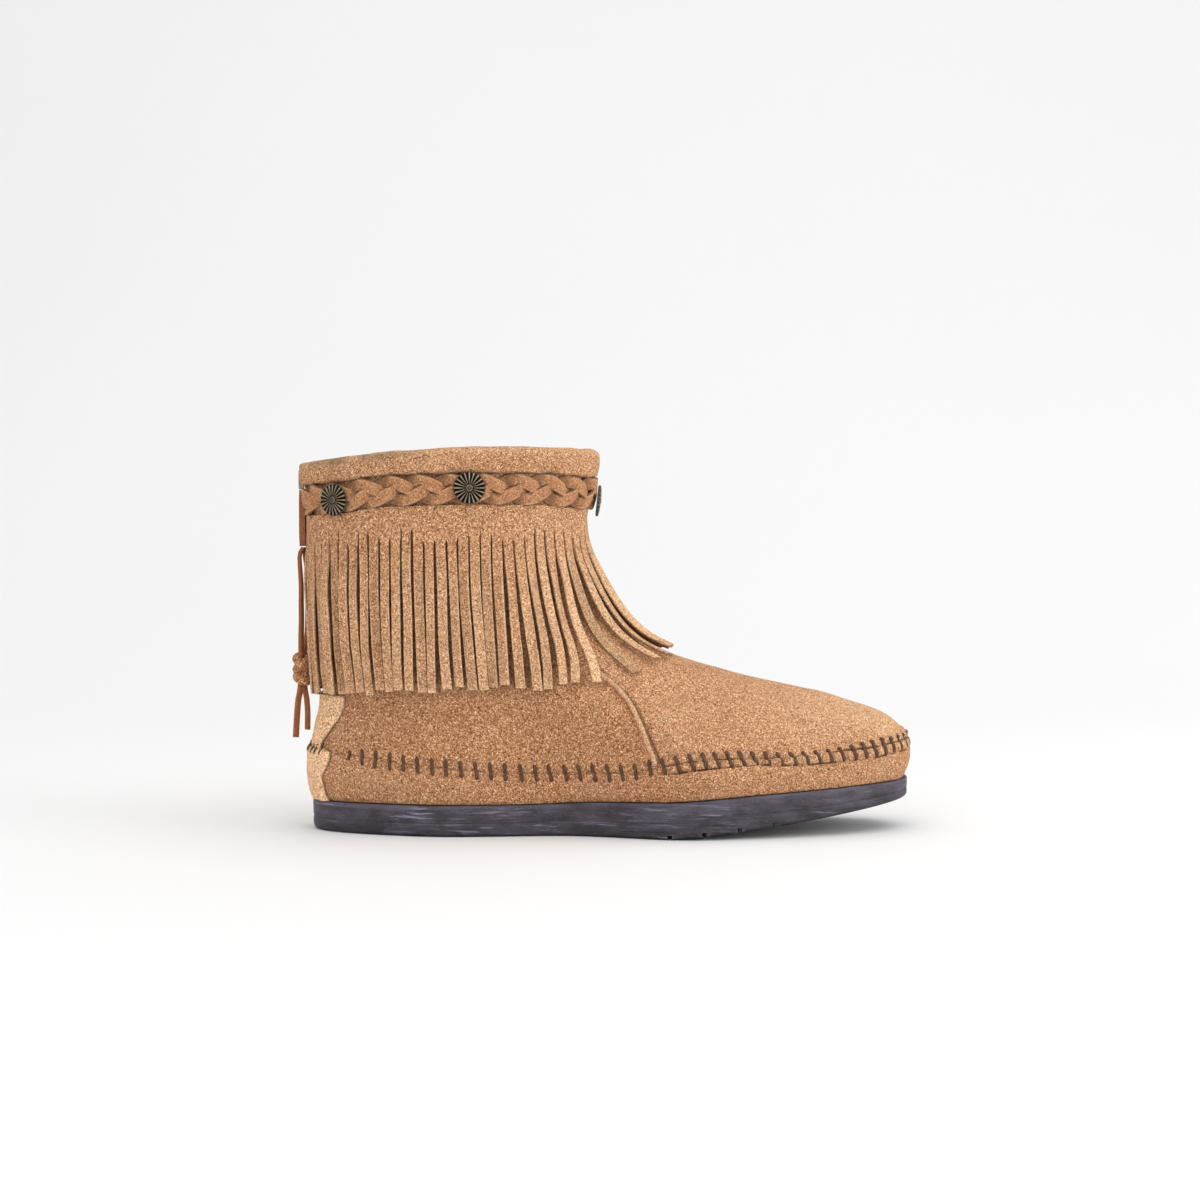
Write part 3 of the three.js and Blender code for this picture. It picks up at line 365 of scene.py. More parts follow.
def outline_point(section, angle):
    """A point of a section: angle 0 at the back, the inner side next, the toe at half a turn."""
    (back, front, back_up, front_up, dip, heel, waist, ball, toe,
     back_round, front_round, bend, leg) = section.T
    along = (1 - np.cos(angle)) / 2
    x = back + (front - back) * along
    half = smooth_curve(WIDTH_STATIONS, [heel, heel, waist, ball, toe, toe], along)
    sine = np.sin(angle)
    spread = np.abs(sine) ** (2 / (back_round + (front_round - back_round) * along))
    middle = bend * smooth_curve(BEND_STATIONS, BEND_SHARES, along)
    top = sole_top(x)
    base = top + (HEEL_THICKNESS - top) * leg + CLEARANCE
    z = base + back_up + (front_up - back_up) * along - dip * np.sin(np.pi * along)
    return np.stack([x, middle + np.sign(sine) * half * spread, z], axis=-1)


def surface(level, angle):
    """Points of the upper at levels of the section table and angles around it."""
    level, angle = np.broadcast_arrays(np.asarray(level, float), np.asarray(angle, float))
    points = outline_point(section_at(level.ravel()), angle.ravel())
    return points.reshape(level.shape + (3,))


def lengths_along(points):
    """The way from the first point of a line to each of its points."""
    return np.concatenate([[0], np.cumsum(np.linalg.norm(np.diff(points, axis=0), axis=1))])


def unit(vectors):
    return vectors / np.maximum(np.linalg.norm(vectors, axis=-1, keepdims=True), 1e-9)


def outward(level, angle):
    step = 0.02
    around = surface(level, angle + step) - surface(level, angle - step)
    above, below = np.minimum(level + step, LAST_ROW), np.maximum(level - step, 0)
    up = surface(above, angle) - surface(below, angle)
    return unit(np.cross(up, around))


def on_upper(level, angle, lift):
    lift = np.broadcast_to(np.asarray(lift, float), np.broadcast(level, angle).shape)
    return surface(level, angle) + outward(level, angle) * lift[..., None]


def solve(low, high, target, measure, steps=24):
    """The values between low and high where a rising measure reaches its target."""
    low = np.array(np.broadcast_to(low, np.shape(target)), float)
    high = np.array(np.broadcast_to(high, np.shape(target)), float)
    for _ in range(steps):
        middle = (low + high) / 2
        below = measure(middle) < target
        low = np.where(below, middle, low)
        high = np.where(below, high, middle)
    return (low + high) / 2


def level_at(height, angle, steps=22):
    height, angle = np.broadcast_arrays(np.asarray(height, float), np.asarray(angle, float))
    return solve(0, LAST_ROW, height, lambda level: surface(level, angle)[..., 2], steps)


def angle_at(x, height, lateral):
    """The angle at which the upper passes a distance from the back of the heel, at one height."""
    x, height = np.broadcast_arrays(np.asarray(x, float), np.asarray(height, float))
    half = solve(0, np.pi, x, lambda turn: surface(level_at(height, turn), turn)[..., 0])
    return 2 * np.pi - half if lateral else half


def back_angle(y, height):
    """The angle beside the back's middle line at a distance from that line."""
    y, height = np.broadcast_arrays(np.asarray(y, float), np.asarray(height, float))
    half = solve(0, 1, np.abs(y), lambda turn: surface(level_at(height, turn), turn)[..., 1])
    return np.sign(y) * half


def even_angles(height, gap, steps):
    """Angles at even steps of length around the shaft at one height, and the whole length."""
    first = float(back_angle(gap / 2, height))
    angles = np.linspace(first, 2 * np.pi - first, 721)
    lengths = lengths_along(surface(level_at(height, angles), angles))
    return np.interp(np.linspace(0, lengths[-1], steps + 1), lengths, angles), lengths[-1]


def welt_line(share):
    """Where the piped seam beside the vamp runs, at shares of its height."""
    return SHAFT_LENGTH + (SOLE_LENGTH - SHAFT_LENGTH) * smooth_curve(WELT_UP, WELT_ALONG, share)


def seam_measure():
    """Angles and lengths along the moccasin seam, from the back round the inner side."""
    angles = np.linspace(0, 2 * np.pi, 1441)
    points = surface(SEAM_ROW, angles)
    return angles, lengths_along(points), points


SEAM_ANGLES, SEAM_LENGTHS, SEAM_POINTS = seam_measure()
STITCH_LEAN = 0.2
FAR_FROM_SEAM = 99
GAP_LEVELS = np.linspace(0, 10, 201)


def seam_shift(x):
    return smooth_curve(SEAM_STATIONS, SEAM_SHIFTS, x)


def level_past_seam(angle, gap):
    """Levels at distances over the leather from the fold of the wall."""
    flat = np.ravel(angle)
    points = surface(GAP_LEVELS[:, None], flat[None])
    seam = surface(SEAM_ROW, flat)
    side = np.sign(GAP_LEVELS - SEAM_ROW)[:, None]
    distance = np.linalg.norm(points - seam[None], axis=2) * side
    found = [np.interp(wanted, distance[:, i], GAP_LEVELS) for i, wanted in enumerate(np.ravel(gap))]
    return np.array(found).reshape(np.shape(angle))


def stitch_paths(angle, shift, reach, lean, shares, upright):
    """Levels and angles of straight stitches across the seam, leaning along it."""
    level = level_past_seam(angle, shift)
    seat = surface(level, angle)[:, None]
    along = unit(surface(level, angle + 0.01)[:, None] - seat)
    over = reach[:, None] * shares * (1 - 0.35 * upright * (shares > 0))
    aside = lean[:, None] * over
    angles = np.broadcast_to(angle[:, None], over.shape)
    for _ in range(4):
        levels = level_past_seam(angles, shift[:, None] + over)
        here = surface(levels, angles)
        turn = (surface(levels, angles + 0.01) - here) / 0.01
        miss = aside - ((here - seat) * along).sum(-1)
        angles = angles + miss / np.maximum((turn * along).sum(-1), 1)
    return level_past_seam(angles, shift[:, None] + over), angles


def unevenness(base, level):
    """The soft lumps and listed creases of the leather."""
    x, z = base[..., 0], base[..., 2]
    lift = (rough(base, 24, 1) * 0.9 + rough(base, 9, 2) * 0.3) * smoothstep(level, 0, 1.5)
    for crease in CREASES:
        (x0, z0), (x1, z1) = crease["start"], crease["end"]
        run = np.array([x1 - x0, z1 - z0], float)
        share = np.clip(((x - x0) * run[0] + (z - z0) * run[1]) / (run @ run), 0, 1)
        distance = np.hypot(x - x0 - share * run[0], z - z0 - share * run[1])
        lift -= crease["depth"] * bump(distance, crease["width"]) * (0.5 + 0.5 * np.sin(np.pi * share))
    return lift


def toe_share(x):
    """0 along the sides, 1 round the toe."""
    return smoothstep(x, TOE_START, TOE_START + 10)


def seam_relief(x, stitch, gap):
    """How the thread draws the leather in: a fold along the side, gathers and beads round the toe."""
    toe = toe_share(x)
    pinch = np.cos(2 * np.pi * stitch)
    tight = np.maximum(pinch, 0) ** 2
    side = -0.4 * bump(gap, 0.5) - 0.5 * bump(gap, 3.4) * tight
    side -= 0.35 * bump(np.abs(gap) - 4, 0.9) * tight
    bead = np.clip(1 - ((gap + 1.9) / 1.9) ** 2, 0, 1) * (0.62 - 0.45 * pinch)
    bead *= 1 - smoothstep(x, 236, 250)
    lines = bump(gap, 0.45) + bump(gap + 3.8, 0.45)
    gathers = -0.34 * pinch * bump(gap - 3.6, 2.4)
    front = bead - 0.45 * lines + gathers - 0.3 * tight * bump(gap, 4)
    fold = gap + seam_shift(x)
    rounding = 0.45 * smoothstep(x, 185, 205) + 0.5 * smoothstep(x, 238, 250)
    front = front + rounding * (bump(fold - 0.3, 1.7) - 0.9 * bump(fold + 2.7, 1.4))
    return side * (1 - toe) + front * toe + 0.45 * bump(gap + 9, 4)


def stitch_numbers():
    """Stitches counted along the seam, which lie closer together round the toe."""
    closer = 1 - 0.15 * smoothstep(SEAM_POINTS[:, 0], 150, 170)
    pitch = bpy.context.scene.boot_sizes.stitch_pitch / MM * closer
    numbers = np.concatenate([[0], np.cumsum(np.diff(SEAM_LENGTHS) * 2 / (pitch[1:] + pitch[:-1]))])
    return numbers * round(numbers[-1]) / numbers[-1]


# Meshes


def new_piece(name, points, faces, materials, slots=None, **attributes):
    """A piece from points in millimetres, laid from the back of the heel."""
    mesh = bpy.data.meshes.new(name)
    placed = (points.reshape(-1, 3) - np.array([HEEL_SETBACK, 0, 0])) * MM
    mesh.from_pydata(placed.tolist(), [], faces.tolist() if hasattr(faces, "tolist") else faces)
    mesh.validate()
    for material in materials:
        mesh.materials.append(material)
    if slots is not None:
        mesh.polygons.foreach_set("material_index", np.asarray(slots, np.int32))
    for key, values in attributes.items():
        layer = mesh.attributes.new(key, "FLOAT", "POINT")
        layer.data.foreach_set("value", np.asarray(values, np.float32).ravel())
    mesh.polygons.foreach_set("use_smooth", np.ones(len(mesh.polygons), bool))
    mesh.update()
    piece = bpy.data.objects.new(name, mesh)
    bpy.context.collection.objects.link(piece)
    return piece


def finish_piece(piece, slot, *nodes):
    """The piece rides on the boot and stands for its nodes, which it hides. The slot is not used."""
    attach(piece, "root")
    if nodes:
        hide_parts(*nodes)
    return piece


def shade_by_angle(piece, degrees):
    only(piece)
    bpy.ops.object.shade_smooth_by_angle(angle=math.radians(degrees))
    piece.select_set(False)


def only(piece):
    bpy.ops.object.select_all(action="DESELECT")
    piece.select_set(True)
    bpy.context.view_layer.objects.active = piece


def wrap_faces(rows, columns, open_rows=False):
    """Quads of a grid whose columns close, and whose rows close unless they are open."""
    row, column = np.meshgrid(np.arange(rows), np.arange(columns), indexing="ij")
    below, beside = (row + 1) % rows, (column + 1) % columns
    corners = [row * columns + column, row * columns + beside, below * columns + beside,
               below * columns + column]
    quads = np.stack([corner.ravel() for corner in corners], axis=1)
    return quads[:-columns] if open_rows else quads


def sheet_mesh(outer, inner, has=None):
    """A closed sheet between two grids (columns, rows), open where it has no cells.

    Gives its points, its quads and the places of its points in the two grids.
    """
    columns, rows = outer.shape[0] - 1, outer.shape[1] - 1
    has = np.ones((columns, rows), bool) if has is None else has
    count = (columns + 1) * (rows + 1)
    index = np.arange(count).reshape(columns + 1, rows + 1)
    a, b, c, d = index[:-1, :-1], index[1:, :-1], index[1:, 1:], index[:-1, 1:]
    quads = [np.stack([q[has] for q in (a, b, c, d)], 1)]
    quads.append(np.stack([q[has] + count for q in (d, c, b, a)], 1))
    padded = np.pad(has, 1)
    sides = [
        (~padded[1:-1, :-2], (a + count, b + count, b, a)),
        (~padded[1:-1, 2:], (d, c, c + count, d + count)),
        (~padded[:-2, 1:-1], (a + count, a, d, d + count)),
        (~padded[2:, 1:-1], (b, b + count, c + count, c)),
    ]
    for open_side, corners in sides:
        edge = has & open_side
        quads.append(np.stack([q[edge] for q in corners], 1))
    points = np.concatenate([outer.reshape(-1, 3), inner.reshape(-1, 3)])
    faces = np.concatenate(quads)
    used = np.unique(faces)
    renumber = np.zeros(len(points), int)
    renumber[used] = np.arange(len(used))
    return points[used], turn_out(points[used], renumber[faces]), used


def both_sides(used, outside, inside):
    """Values of a sheet's points, from those of its outer and inner grid."""
    return np.concatenate([outside.ravel(), inside.ravel()])[used]


def turn_out(points, faces):
    """The faces, turned round where the closed shape is inside out."""
    a, b, c, d = (points[faces[:, i]] for i in range(4))
    volume = np.einsum("ij,ij->", a, np.cross(b, c)) + np.einsum("ij,ij->", a, np.cross(c, d))
    return faces if volume > 0 else faces[:, ::-1]


def sweep(path, up, section):
    """Points and faces of a closed bar: a section of (across, lift) pairs carried along a path."""
    tangent = unit(np.gradient(path, axis=0))
    across = unit(np.cross(tangent, up))
    lift = unit(np.cross(across, tangent))
    section = np.asarray(section, float)
    if section.ndim == 2:
        section = np.broadcast_to(section, (len(path),) + section.shape)
    points = path[:, None] + across[:, None] * section[..., :1] + lift[:, None] * section[..., 1:]
    rows, columns = points.shape[:2]
    quads = wrap_faces(rows, columns, True)
    first = list(range(columns))
    faces = quads.tolist() + [first[::-1], [corner + (rows - 1) * columns for corner in first]]
    flat = points.reshape(-1, 3)
    if turn_out(flat, quads) is not quads:
        faces = [face[::-1] for face in faces]
    return flat, faces


def rounded_section(width, thickness, sides, squareness):
    """A rounded flat section, wide across and thin in height."""
    turns = np.linspace(0, 2 * np.pi, sides, endpoint=False)
    cosine, sine = np.cos(turns), np.sin(turns)
    across = np.sign(cosine) * np.abs(cosine) ** (2 / squareness) * width / 2
    lift = np.sign(sine) * np.abs(sine) ** (2 / squareness) * thickness / 2
    return np.stack([across, lift], axis=1)


def suede_bar(name, path, up, section, pale):
    """A thin bar of suede along a path, of one paleness."""
    points, faces = sweep(path, up, section)
    return new_piece(name, points, faces, [suede_material()],
                     pale=np.full(len(points), pale), soil=np.zeros(len(points)))


def join_meshes(parts):
    """One set of points and faces from several."""
    points = np.concatenate([part[0] for part in parts])
    faces = []
    shift = 0
    for part_points, part_faces in parts:
        faces.extend(tuple(corner + shift for corner in face) for face in part_faces)
        shift += len(part_points)
    return points, faces


def curve_through(points, steps):
    """A smooth line through points, at even steps of its length."""
    points = np.asarray(points, float)
    padded = np.concatenate([[2 * points[0] - points[1]], points, [2 * points[-1] - points[-2]]])
    fine = []
    for i in range(1, len(padded) - 2):
        before, start, end, after = padded[i - 1:i + 3]
        for t in np.linspace(0, 1, 12, endpoint=False):
            fine.append(0.5 * (2 * start + (end - before) * t
                               + (2 * before - 5 * start + 4 * end - after) * t * t
                               + (3 * start - before - 3 * end + after) * t ** 3))
    fine.append(points[-1])
    fine = np.array(fine)
    lengths = lengths_along(fine)
    even = np.linspace(0, lengths[-1], steps)
    return np.stack([np.interp(even, lengths, fine[:, axis]) for axis in range(3)], axis=1)


# Materials


class Look:
    """A material under construction: a principled shader and the nodes that feed it."""

    def __init__(self, name, roughness, metallic=0.0):
        self.material = bpy.data.materials.new(name)
        self.material.use_nodes = True
        self.tree = self.material.node_tree
        self.shader = self.tree.nodes["Principled BSDF"]
        self.set("Roughness", roughness)
        self.set("Metallic", metallic)
        self.place = self.add("ShaderNodeTexCoord").outputs["Object"]

    def add(self, kind, **settings):
        node = self.tree.nodes.new(kind)
        for key, value in settings.items():
            setattr(node, key, value)
        return node

    def set(self, socket, value):
        self.shader.inputs[socket].default_value = value

    def link(self, source, target):
        self.tree.links.new(source, target)

    def noise(self, size, detail=2.0, roughness=0.5, stretch=None, distortion=0.0):
        """Noise with lumps of a size in metres, and a stretch along X, Y and Z."""
        node = self.add("ShaderNodeTexNoise")
        node.inputs["Scale"].default_value = 1 / size
        node.inputs["Detail"].default_value = detail
        node.inputs["Roughness"].default_value = roughness
        node.inputs["Distortion"].default_value = distortion
        source = self.place
        if stretch:
            mapping = self.add("ShaderNodeMapping")
            mapping.inputs["Scale"].default_value = stretch
            self.link(source, mapping.inputs["Vector"])
            source = mapping.outputs["Vector"]
        self.link(source, node.inputs["Vector"])
        return node.outputs["Fac"]

    def attribute(self, name):
        return self.add("ShaderNodeAttribute", attribute_name=name).outputs["Fac"]

    def span(self, source, low, high, to_low=0.0, to_high=1.0):
        """A value's range low to high spread over another range, and held there."""
        node = self.add("ShaderNodeMapRange")
        ends = {"From Min": low, "From Max": high, "To Min": to_low, "To Max": to_high}
        for socket, value in ends.items():
            node.inputs[socket].default_value = value
        self.link(source, node.inputs["Value"])
        return node.outputs["Result"]

    def math(self, operation, first, second):
        node = self.add("ShaderNodeMath", operation=operation)
        for socket, value in zip(node.inputs, (first, second)):
            if isinstance(value, (int, float)):
                socket.default_value = value
            else:
                self.link(value, socket)
        return node.outputs[0]

    def mix(self, share, first, second, blend="MIX"):
        """Two colours mixed by a share, which is a number or a socket."""
        node = self.add("ShaderNodeMix", data_type="RGBA", blend_type=blend)
        if isinstance(share, (int, float)):
            node.inputs[0].default_value = share
        else:
            self.link(share, node.inputs[0])
        for socket, value in zip((node.inputs[6], node.inputs[7]), (first, second)):
            if isinstance(value, bpy.types.NodeSocket):
                self.link(value, socket)
            else:
                socket.default_value = value
        return node.outputs[2]

    def bumps(self, *layers):
        """Bumps on bumps, each a height, a strength and a distance in metres."""
        before = None
        for height, strength, distance in layers:
            node = self.add("ShaderNodeBump")
            node.inputs["Strength"].default_value = strength
            node.inputs["Distance"].default_value = distance
            self.link(height, node.inputs["Height"])
            if before:
                self.link(before, node.inputs["Normal"])
            before = node.outputs["Normal"]
        self.link(before, self.shader.inputs["Normal"])

    def colour(self, source):
        self.link(source, self.shader.inputs["Base Color"])


def times(colour, share):
    return (colour[0] * share, colour[1] * share, colour[2] * share, 1.0)


def suede(name, base, pale, soil, grain=1.0, seam=False):
    """Napped suede: mottled, speckled and fibrous, paler by the piece's attributes and darker by their
    painted shade and grime.
    """
    look = Look(name, 0.93)
    look.set("Specular IOR Level", 0.12)
    look.set("Sheen Weight", 0.25)
    look.set("Sheen Roughness", 0.55)
    look.set("Sheen Tint", pale)
    mottle = look.span(look.noise(0.02, 3), 0.35, 0.65)
    cloud = look.span(look.noise(0.005, 2), 0.3, 0.7)
    speck = look.noise(0.00057, 2, 0.7, distortion=1.6)
    coarse = look.noise(0.0012, 3, 0.65, distortion=0.8)
    fibre = look.noise(0.0003, 2, 0.6)
    tone = look.mix(look.span(look.attribute("pale"), 0, 1), base, pale)
    tone = look.mix(look.span(mottle, 0, 1, 0.0, 0.3), tone, times(base, 0.78))
    tone = look.mix(look.span(cloud, 0, 1, 0.0, 0.16), tone, pale)
    tone = look.mix(look.span(coarse, 0.36, 0.52, 0.3 * grain, 0.0), tone, times(base, 0.5))
    tone = look.mix(look.span(coarse, 0.52, 0.68, 0.0, 0.26 * grain), tone, times(pale, 1.15))
    tone = look.mix(look.span(speck, 0.37, 0.49, 1.0 * grain, 0.0), tone, times(base, 0.2))
    tone = look.mix(look.span(speck, 0.53, 0.63, 0.0, 1.0 * grain), tone, times(pale, 1.55))
    # Painted shade in the seam's grooves.
    if seam:
        tone = look.mix(seam_shade_lines(look), tone, times(soil, 0.8))
    # Painted shade and grime from the piece's attribute, broken up by the grain.
    shade_and_grime_share = look.math("MULTIPLY", look.attribute("soil"), look.span(coarse, 0.38, 0.62, 0.7, 1.15))
    tone = look.mix(look.span(shade_and_grime_share, 0, 1), tone, soil)
    look.colour(tone)
    look.bumps((cloud, 0.3, 0.0005), (coarse, 0.4, 0.0003), (speck, 0.6, 0.0003), (fibre, 0.3, 0.0002))
    return look.material


def chosen(name):
    """A colour as the user has set it."""
    return tuple(getattr(bpy.context.scene.boot_colours, name))


def plain_suede_colours():
    return chosen("suede"), chosen("pale_suede"), chosen("soil")


def seam_shade_lines(look):
    """Painted shade: broken lines in the grooves where the thread pulls the toe in, and one faint line
    along the side's fold.
    """
    gap, toe = look.attribute("gap"), look.attribute("toe")
    fold = look.span(look.math("ABSOLUTE", gap, 0), 0.15, 0.5, 1, 0)
    low = look.span(look.math("ABSOLUTE", look.math("ADD", gap, 3.8), 0), 0.15, 0.55, 1, 0)
    broken = look.span(look.noise(0.004, 2), 0.4, 0.52)
    front = look.math("MULTIPLY", look.math("MAXIMUM", fold, low), look.math("MULTIPLY", toe, 0.95))
    side = look.math("MULTIPLY", fold, look.math("MULTIPLY", look.math("SUBTRACT", 1, toe), 0.4))
    return look.math("MULTIPLY", look.math("ADD", front, side), broken)


def shared(name):
    """A material that is made under its name once, and then kept for the pieces that share it."""
    def keep(make):
        return lambda: bpy.data.materials.get(name) or make(name)
    return keep


@shared("tan suede")
def suede_material(name):
    return suede(name, *plain_suede_colours())


@shared("lace suede")
def lace_material(name):
    base, _, soil = plain_suede_colours()
    return suede(name, chosen("lace"), base, soil, 0.6)


@shared("lining leather")
def lining_material(name):
    colour = chosen("lining")
    look = Look(name, 0.85)
    cloud = look.span(look.noise(0.012, 3), 0.3, 0.7)
    grain = look.noise(0.0012, 3, 0.6)
    tone = look.mix(look.span(cloud, 0, 1, 0, 0.5), colour, times(colour, 0.75))
    look.colour(look.mix(look.span(grain, 0.4, 0.7, 0, 0.4), tone, times(colour, 1.25)))
    look.bumps((cloud, 0.2, 0.0005), (grain, 0.3, 0.0002))
    return look.material


def thread_material():
    colour = chosen("thread")
    look = Look("waxed thread", 0.7)
    twist = look.noise(0.0009, 3, 0.6, (1, 1, 0.35))
    fluff = look.noise(0.0004, 2)
    tone = look.mix(look.span(twist, 0.35, 0.65), times(colour, 0.6), times(colour, 1.7))
    look.colour(tone)
    look.bumps((twist, 0.6, 0.0004), (fluff, 0.4, 0.0001))
    return look.material


def rubber_material():
    base, scuff = chosen("rubber"), chosen("rubber_scuff")
    look = Look("scuffed rubber", 0.6)
    look.set("Specular IOR Level", 0.4)
    cloud = look.noise(0.018, 4, 0.6, (1, 1, 2.2))
    streak = look.noise(0.0017, 4, 0.7, (0.09, 0.09, 1.4))
    rub = look.noise(0.012, 3, 0.6, (0.4, 0.4, 1.3))
    dust = look.noise(0.0009, 3, 0.7)
    tone = look.mix(look.span(cloud, 0.38, 0.66), base, times(scuff, 0.66))
    tone = look.mix(look.span(look.attribute("pale"), 0, 1, 0, 0.8), tone, scuff)
    worn = look.math("MULTIPLY", look.span(streak, 0.55, 0.61), look.span(rub, 0.46, 0.62, 0.1, 0.95))
    tone = look.mix(worn, tone, times(scuff, 1.75))
    tone = look.mix(look.span(streak, 0.36, 0.46, 0.6, 0), tone, times(base, 0.5))
    tone = look.mix(look.span(dust, 0.58, 0.72, 0, 0.4), tone, times(scuff, 1.5))
    # Painted shade from the attribute, near black at the sole's foot.
    tone = look.mix(look.span(look.attribute("soil"), 0, 1), tone, times(base, 0.12))
    look.colour(tone)
    look.link(look.span(streak, 0.4, 0.7, 0.5, 0.75), look.shader.inputs["Roughness"])
    look.bumps((cloud, 0.3, 0.0008), (streak, 0.45, 0.0004), (dust, 0.3, 0.0001))
    return look.material


@shared("aged brass")
def brass_material(name):
    colour = chosen("brass")
    look = Look(name, 0.38, 1.0)
    patina = look.noise(0.0012, 4, 0.65)
    tone = look.mix(look.span(patina, 0.35, 0.65, 0, 0.55), colour, times(colour, 0.45))
    tone = look.mix(look.span(look.attribute("soil"), 0, 1), tone, (0.018, 0.015, 0.012, 1))
    look.colour(tone)
    look.link(look.span(patina, 0.3, 0.7, 0.32, 0.6), look.shader.inputs["Roughness"])
    look.bumps((patina, 0.3, 0.0001))
    return look.material


def tape_material():
    colour = chosen("tape")
    look = Look("woven tape", 0.85)
    weave = look.add("ShaderNodeTexWave", wave_type="BANDS", bands_direction="Z")
    weave.inputs["Scale"].default_value = 600
    weave.inputs["Distortion"].default_value = 0.6
    look.link(look.place, weave.inputs["Vector"])
    look.colour(look.mix(weave.outputs["Fac"], times(colour, 0.6), times(colour, 1.25)))
    look.bumps((weave.outputs["Fac"], 0.5, 0.0002))
    return look.material


def floor_material():
    colour = tuple(bpy.context.scene.boot_stage.floor)
    look = Look("studio floor", 0.9)
    look.set("Specular IOR Level", 0.1)
    cloud = look.noise(0.6, 2)
    look.colour(look.mix(look.span(cloud, 0.3, 0.7), colour, times(colour, 0.99)))
    return look.material


# Pieces, each with its own operator


class BOOT_OT_stage(bpy.types.Operator):
    """Set up the pale floor, the soft light and the camera"""
    bl_idname = "boot.stage"
    bl_label = "Stage"

    floor_size = 6
    wall_height = 5
    bend_radius = 1.5
    sky_strength = 0.75
    boot_middle = (0.09, 0, 0.06)

    # Name, place in metres, size in metres and power in watts.
    lamps = (
        ("top_light", (0.55, -0.2, 1.9), 2.4, 17.5),
        ("front_light", (-0.5, -1.7, 1.0), 1.2, 6.2),
        ("toe_light", (1.4, -0.45, 0.32), 0.8, 7),
    )

    def execute(self, context):
        floor = self.floor(context)
        self.light(context)
        self.camera(context)
        context.scene.view_settings.view_transform = "Standard"
        return {"FINISHED"}

    def floor(self, context):
        """A floor that bends up into a wall behind the boot."""
        bpy.ops.object.select_all(action="DESELECT")
        bpy.ops.mesh.primitive_plane_add(size=self.floor_size, location=(0, -1, 0))
        floor = context.object
        floor.name = "studio_floor"
        bpy.ops.object.mode_set(mode="EDIT")
        bpy.ops.mesh.select_mode(type="EDGE")
        self.select_far_edges(floor.data, math.inf)
        bpy.ops.mesh.extrude_region_move(TRANSFORM_OT_translate={"value": (0, 0, self.wall_height)})
        self.select_far_edges(floor.data, 0.1)
        bpy.ops.mesh.bevel(offset=self.bend_radius, segments=24)
        bpy.ops.object.mode_set(mode="OBJECT")
        bpy.ops.object.transform_apply()
        bpy.ops.object.shade_smooth()
        floor.data.materials.append(floor_material())
        return floor

    def select_far_edges(self, mesh, top):
        """Select the floor's edges at its far side, below a height."""
        bpy.ops.mesh.select_all(action="DESELECT")
        bpy.ops.object.mode_set(mode="OBJECT")
        for edge in mesh.edges:
            ends = [mesh.vertices[i].co for i in edge.vertices]
            edge.select = all(end.y > self.floor_size / 2 - 0.1 and end.z < top for end in ends)
        bpy.ops.object.mode_set(mode="EDIT")

    def light(self, context):
        world = context.scene.world or bpy.data.worlds.new("studio")
        context.scene.world = world
        world.use_nodes = True
        background = world.node_tree.nodes["Background"]
        background.inputs["Color"].default_value = (1, 1, 1, 1)
        background.inputs["Strength"].default_value = self.sky_strength
        for name, place, size, power in self.lamps:
            light = bpy.data.lights.new(name, "AREA")
            light.energy = power
            light.size = size
            lamp = bpy.data.objects.new(name, light)
            lamp.location = place
            aim = Vector(self.boot_middle) - Vector(place)
            lamp.rotation_euler = aim.to_track_quat("-Z", "Y").to_euler()
            context.collection.objects.link(lamp)

    def camera(self, context):
        stage = context.scene.boot_stage
        camera = bpy.data.objects.new("photo_camera", bpy.data.cameras.new("photo_camera"))
        camera.location = (stage.camera_across, -stage.camera_distance, stage.camera_height)
        camera.rotation_euler = (math.pi / 2 - stage.camera_tilt, 0, 0)
        camera.data.lens = stage.camera_lens
        camera.data.sensor_width = 36
        context.collection.objects.link(camera)
        context.scene.camera = camera


class BOOT_OT_pull_laces(bpy.types.Operator):
    """Hang the zip pull's doubled lace with its knot"""
    bl_idname = "boot.pull_laces"
    bl_label = "Pull laces"

    def execute(self, context):
        material = lace_material()
        knot = self.knot(context, suede_material())
        for strand, (name, route) in enumerate(LACE_ROUTES.items(), 1):
            path = curve_through(route, 36)
            width = context.scene.boot_sizes.lace_diameter / MM
            up = np.tile([-1.0, 0.0, 0.0], (len(path), 1))
            turn = np.linspace(0, 1.3, len(path))
            up[:, 1] = np.sin(turn) * (1 if strand == 1 else -1)
            points, faces = sweep(path, up, rounded_section(width, width * 0.62, 14, 3.2))
            piece = new_piece(name, points, faces, [material])
            finish_piece(piece, "lace", f"pull_lace_{strand}", f"pull_end_{strand}")
            shade_by_angle(piece, 50)
        return {"FINISHED"}

    def knot(self, context, material):
        """Three turns of lace, drawn tight into one lump."""
        centre = Vector(((KNOT_CENTRE[0] - HEEL_SETBACK) * MM, 0, KNOT_CENTRE[2] * MM))
        turns = []
        for height, tilt, roll in ((0.0046, 26, 8), (0.0008, -22, -16), (-0.0036, 18, 22)):
            bpy.ops.object.select_all(action="DESELECT")
            bpy.ops.mesh.primitive_torus_add(
                location=centre + Vector((0, 0, height)),
                rotation=(math.radians(tilt), math.radians(roll), 0),
                major_radius=0.0026, minor_radius=0.0019, major_segments=40, minor_segments=16)
            turns.append(context.object)
        bpy.ops.mesh.primitive_uv_sphere_add(location=centre, radius=0.0026)
        bpy.ops.transform.resize(value=(1, 1, 2.5))
        turns.append(context.object)
        for turn in turns:
            turn.select_set(True)
        bpy.ops.object.join()
        knot = context.object
        knot.name = "pull_knot_tied"
        bpy.ops.object.transform_apply()
        remesh = knot.modifiers.new("fused", "REMESH")
        remesh.mode = "VOXEL"
        remesh.voxel_size = 0.00035
        smooth = knot.modifiers.new("worn", "SMOOTH")
        smooth.iterations = 2
        for modifier in ("fused", "worn"):
            bpy.ops.object.modifier_apply(modifier=modifier)
        bpy.ops.object.shade_smooth()
        knot.data.materials.clear()
        knot.data.materials.append(material)
        return finish_piece(knot, "lace", "pull_knot")


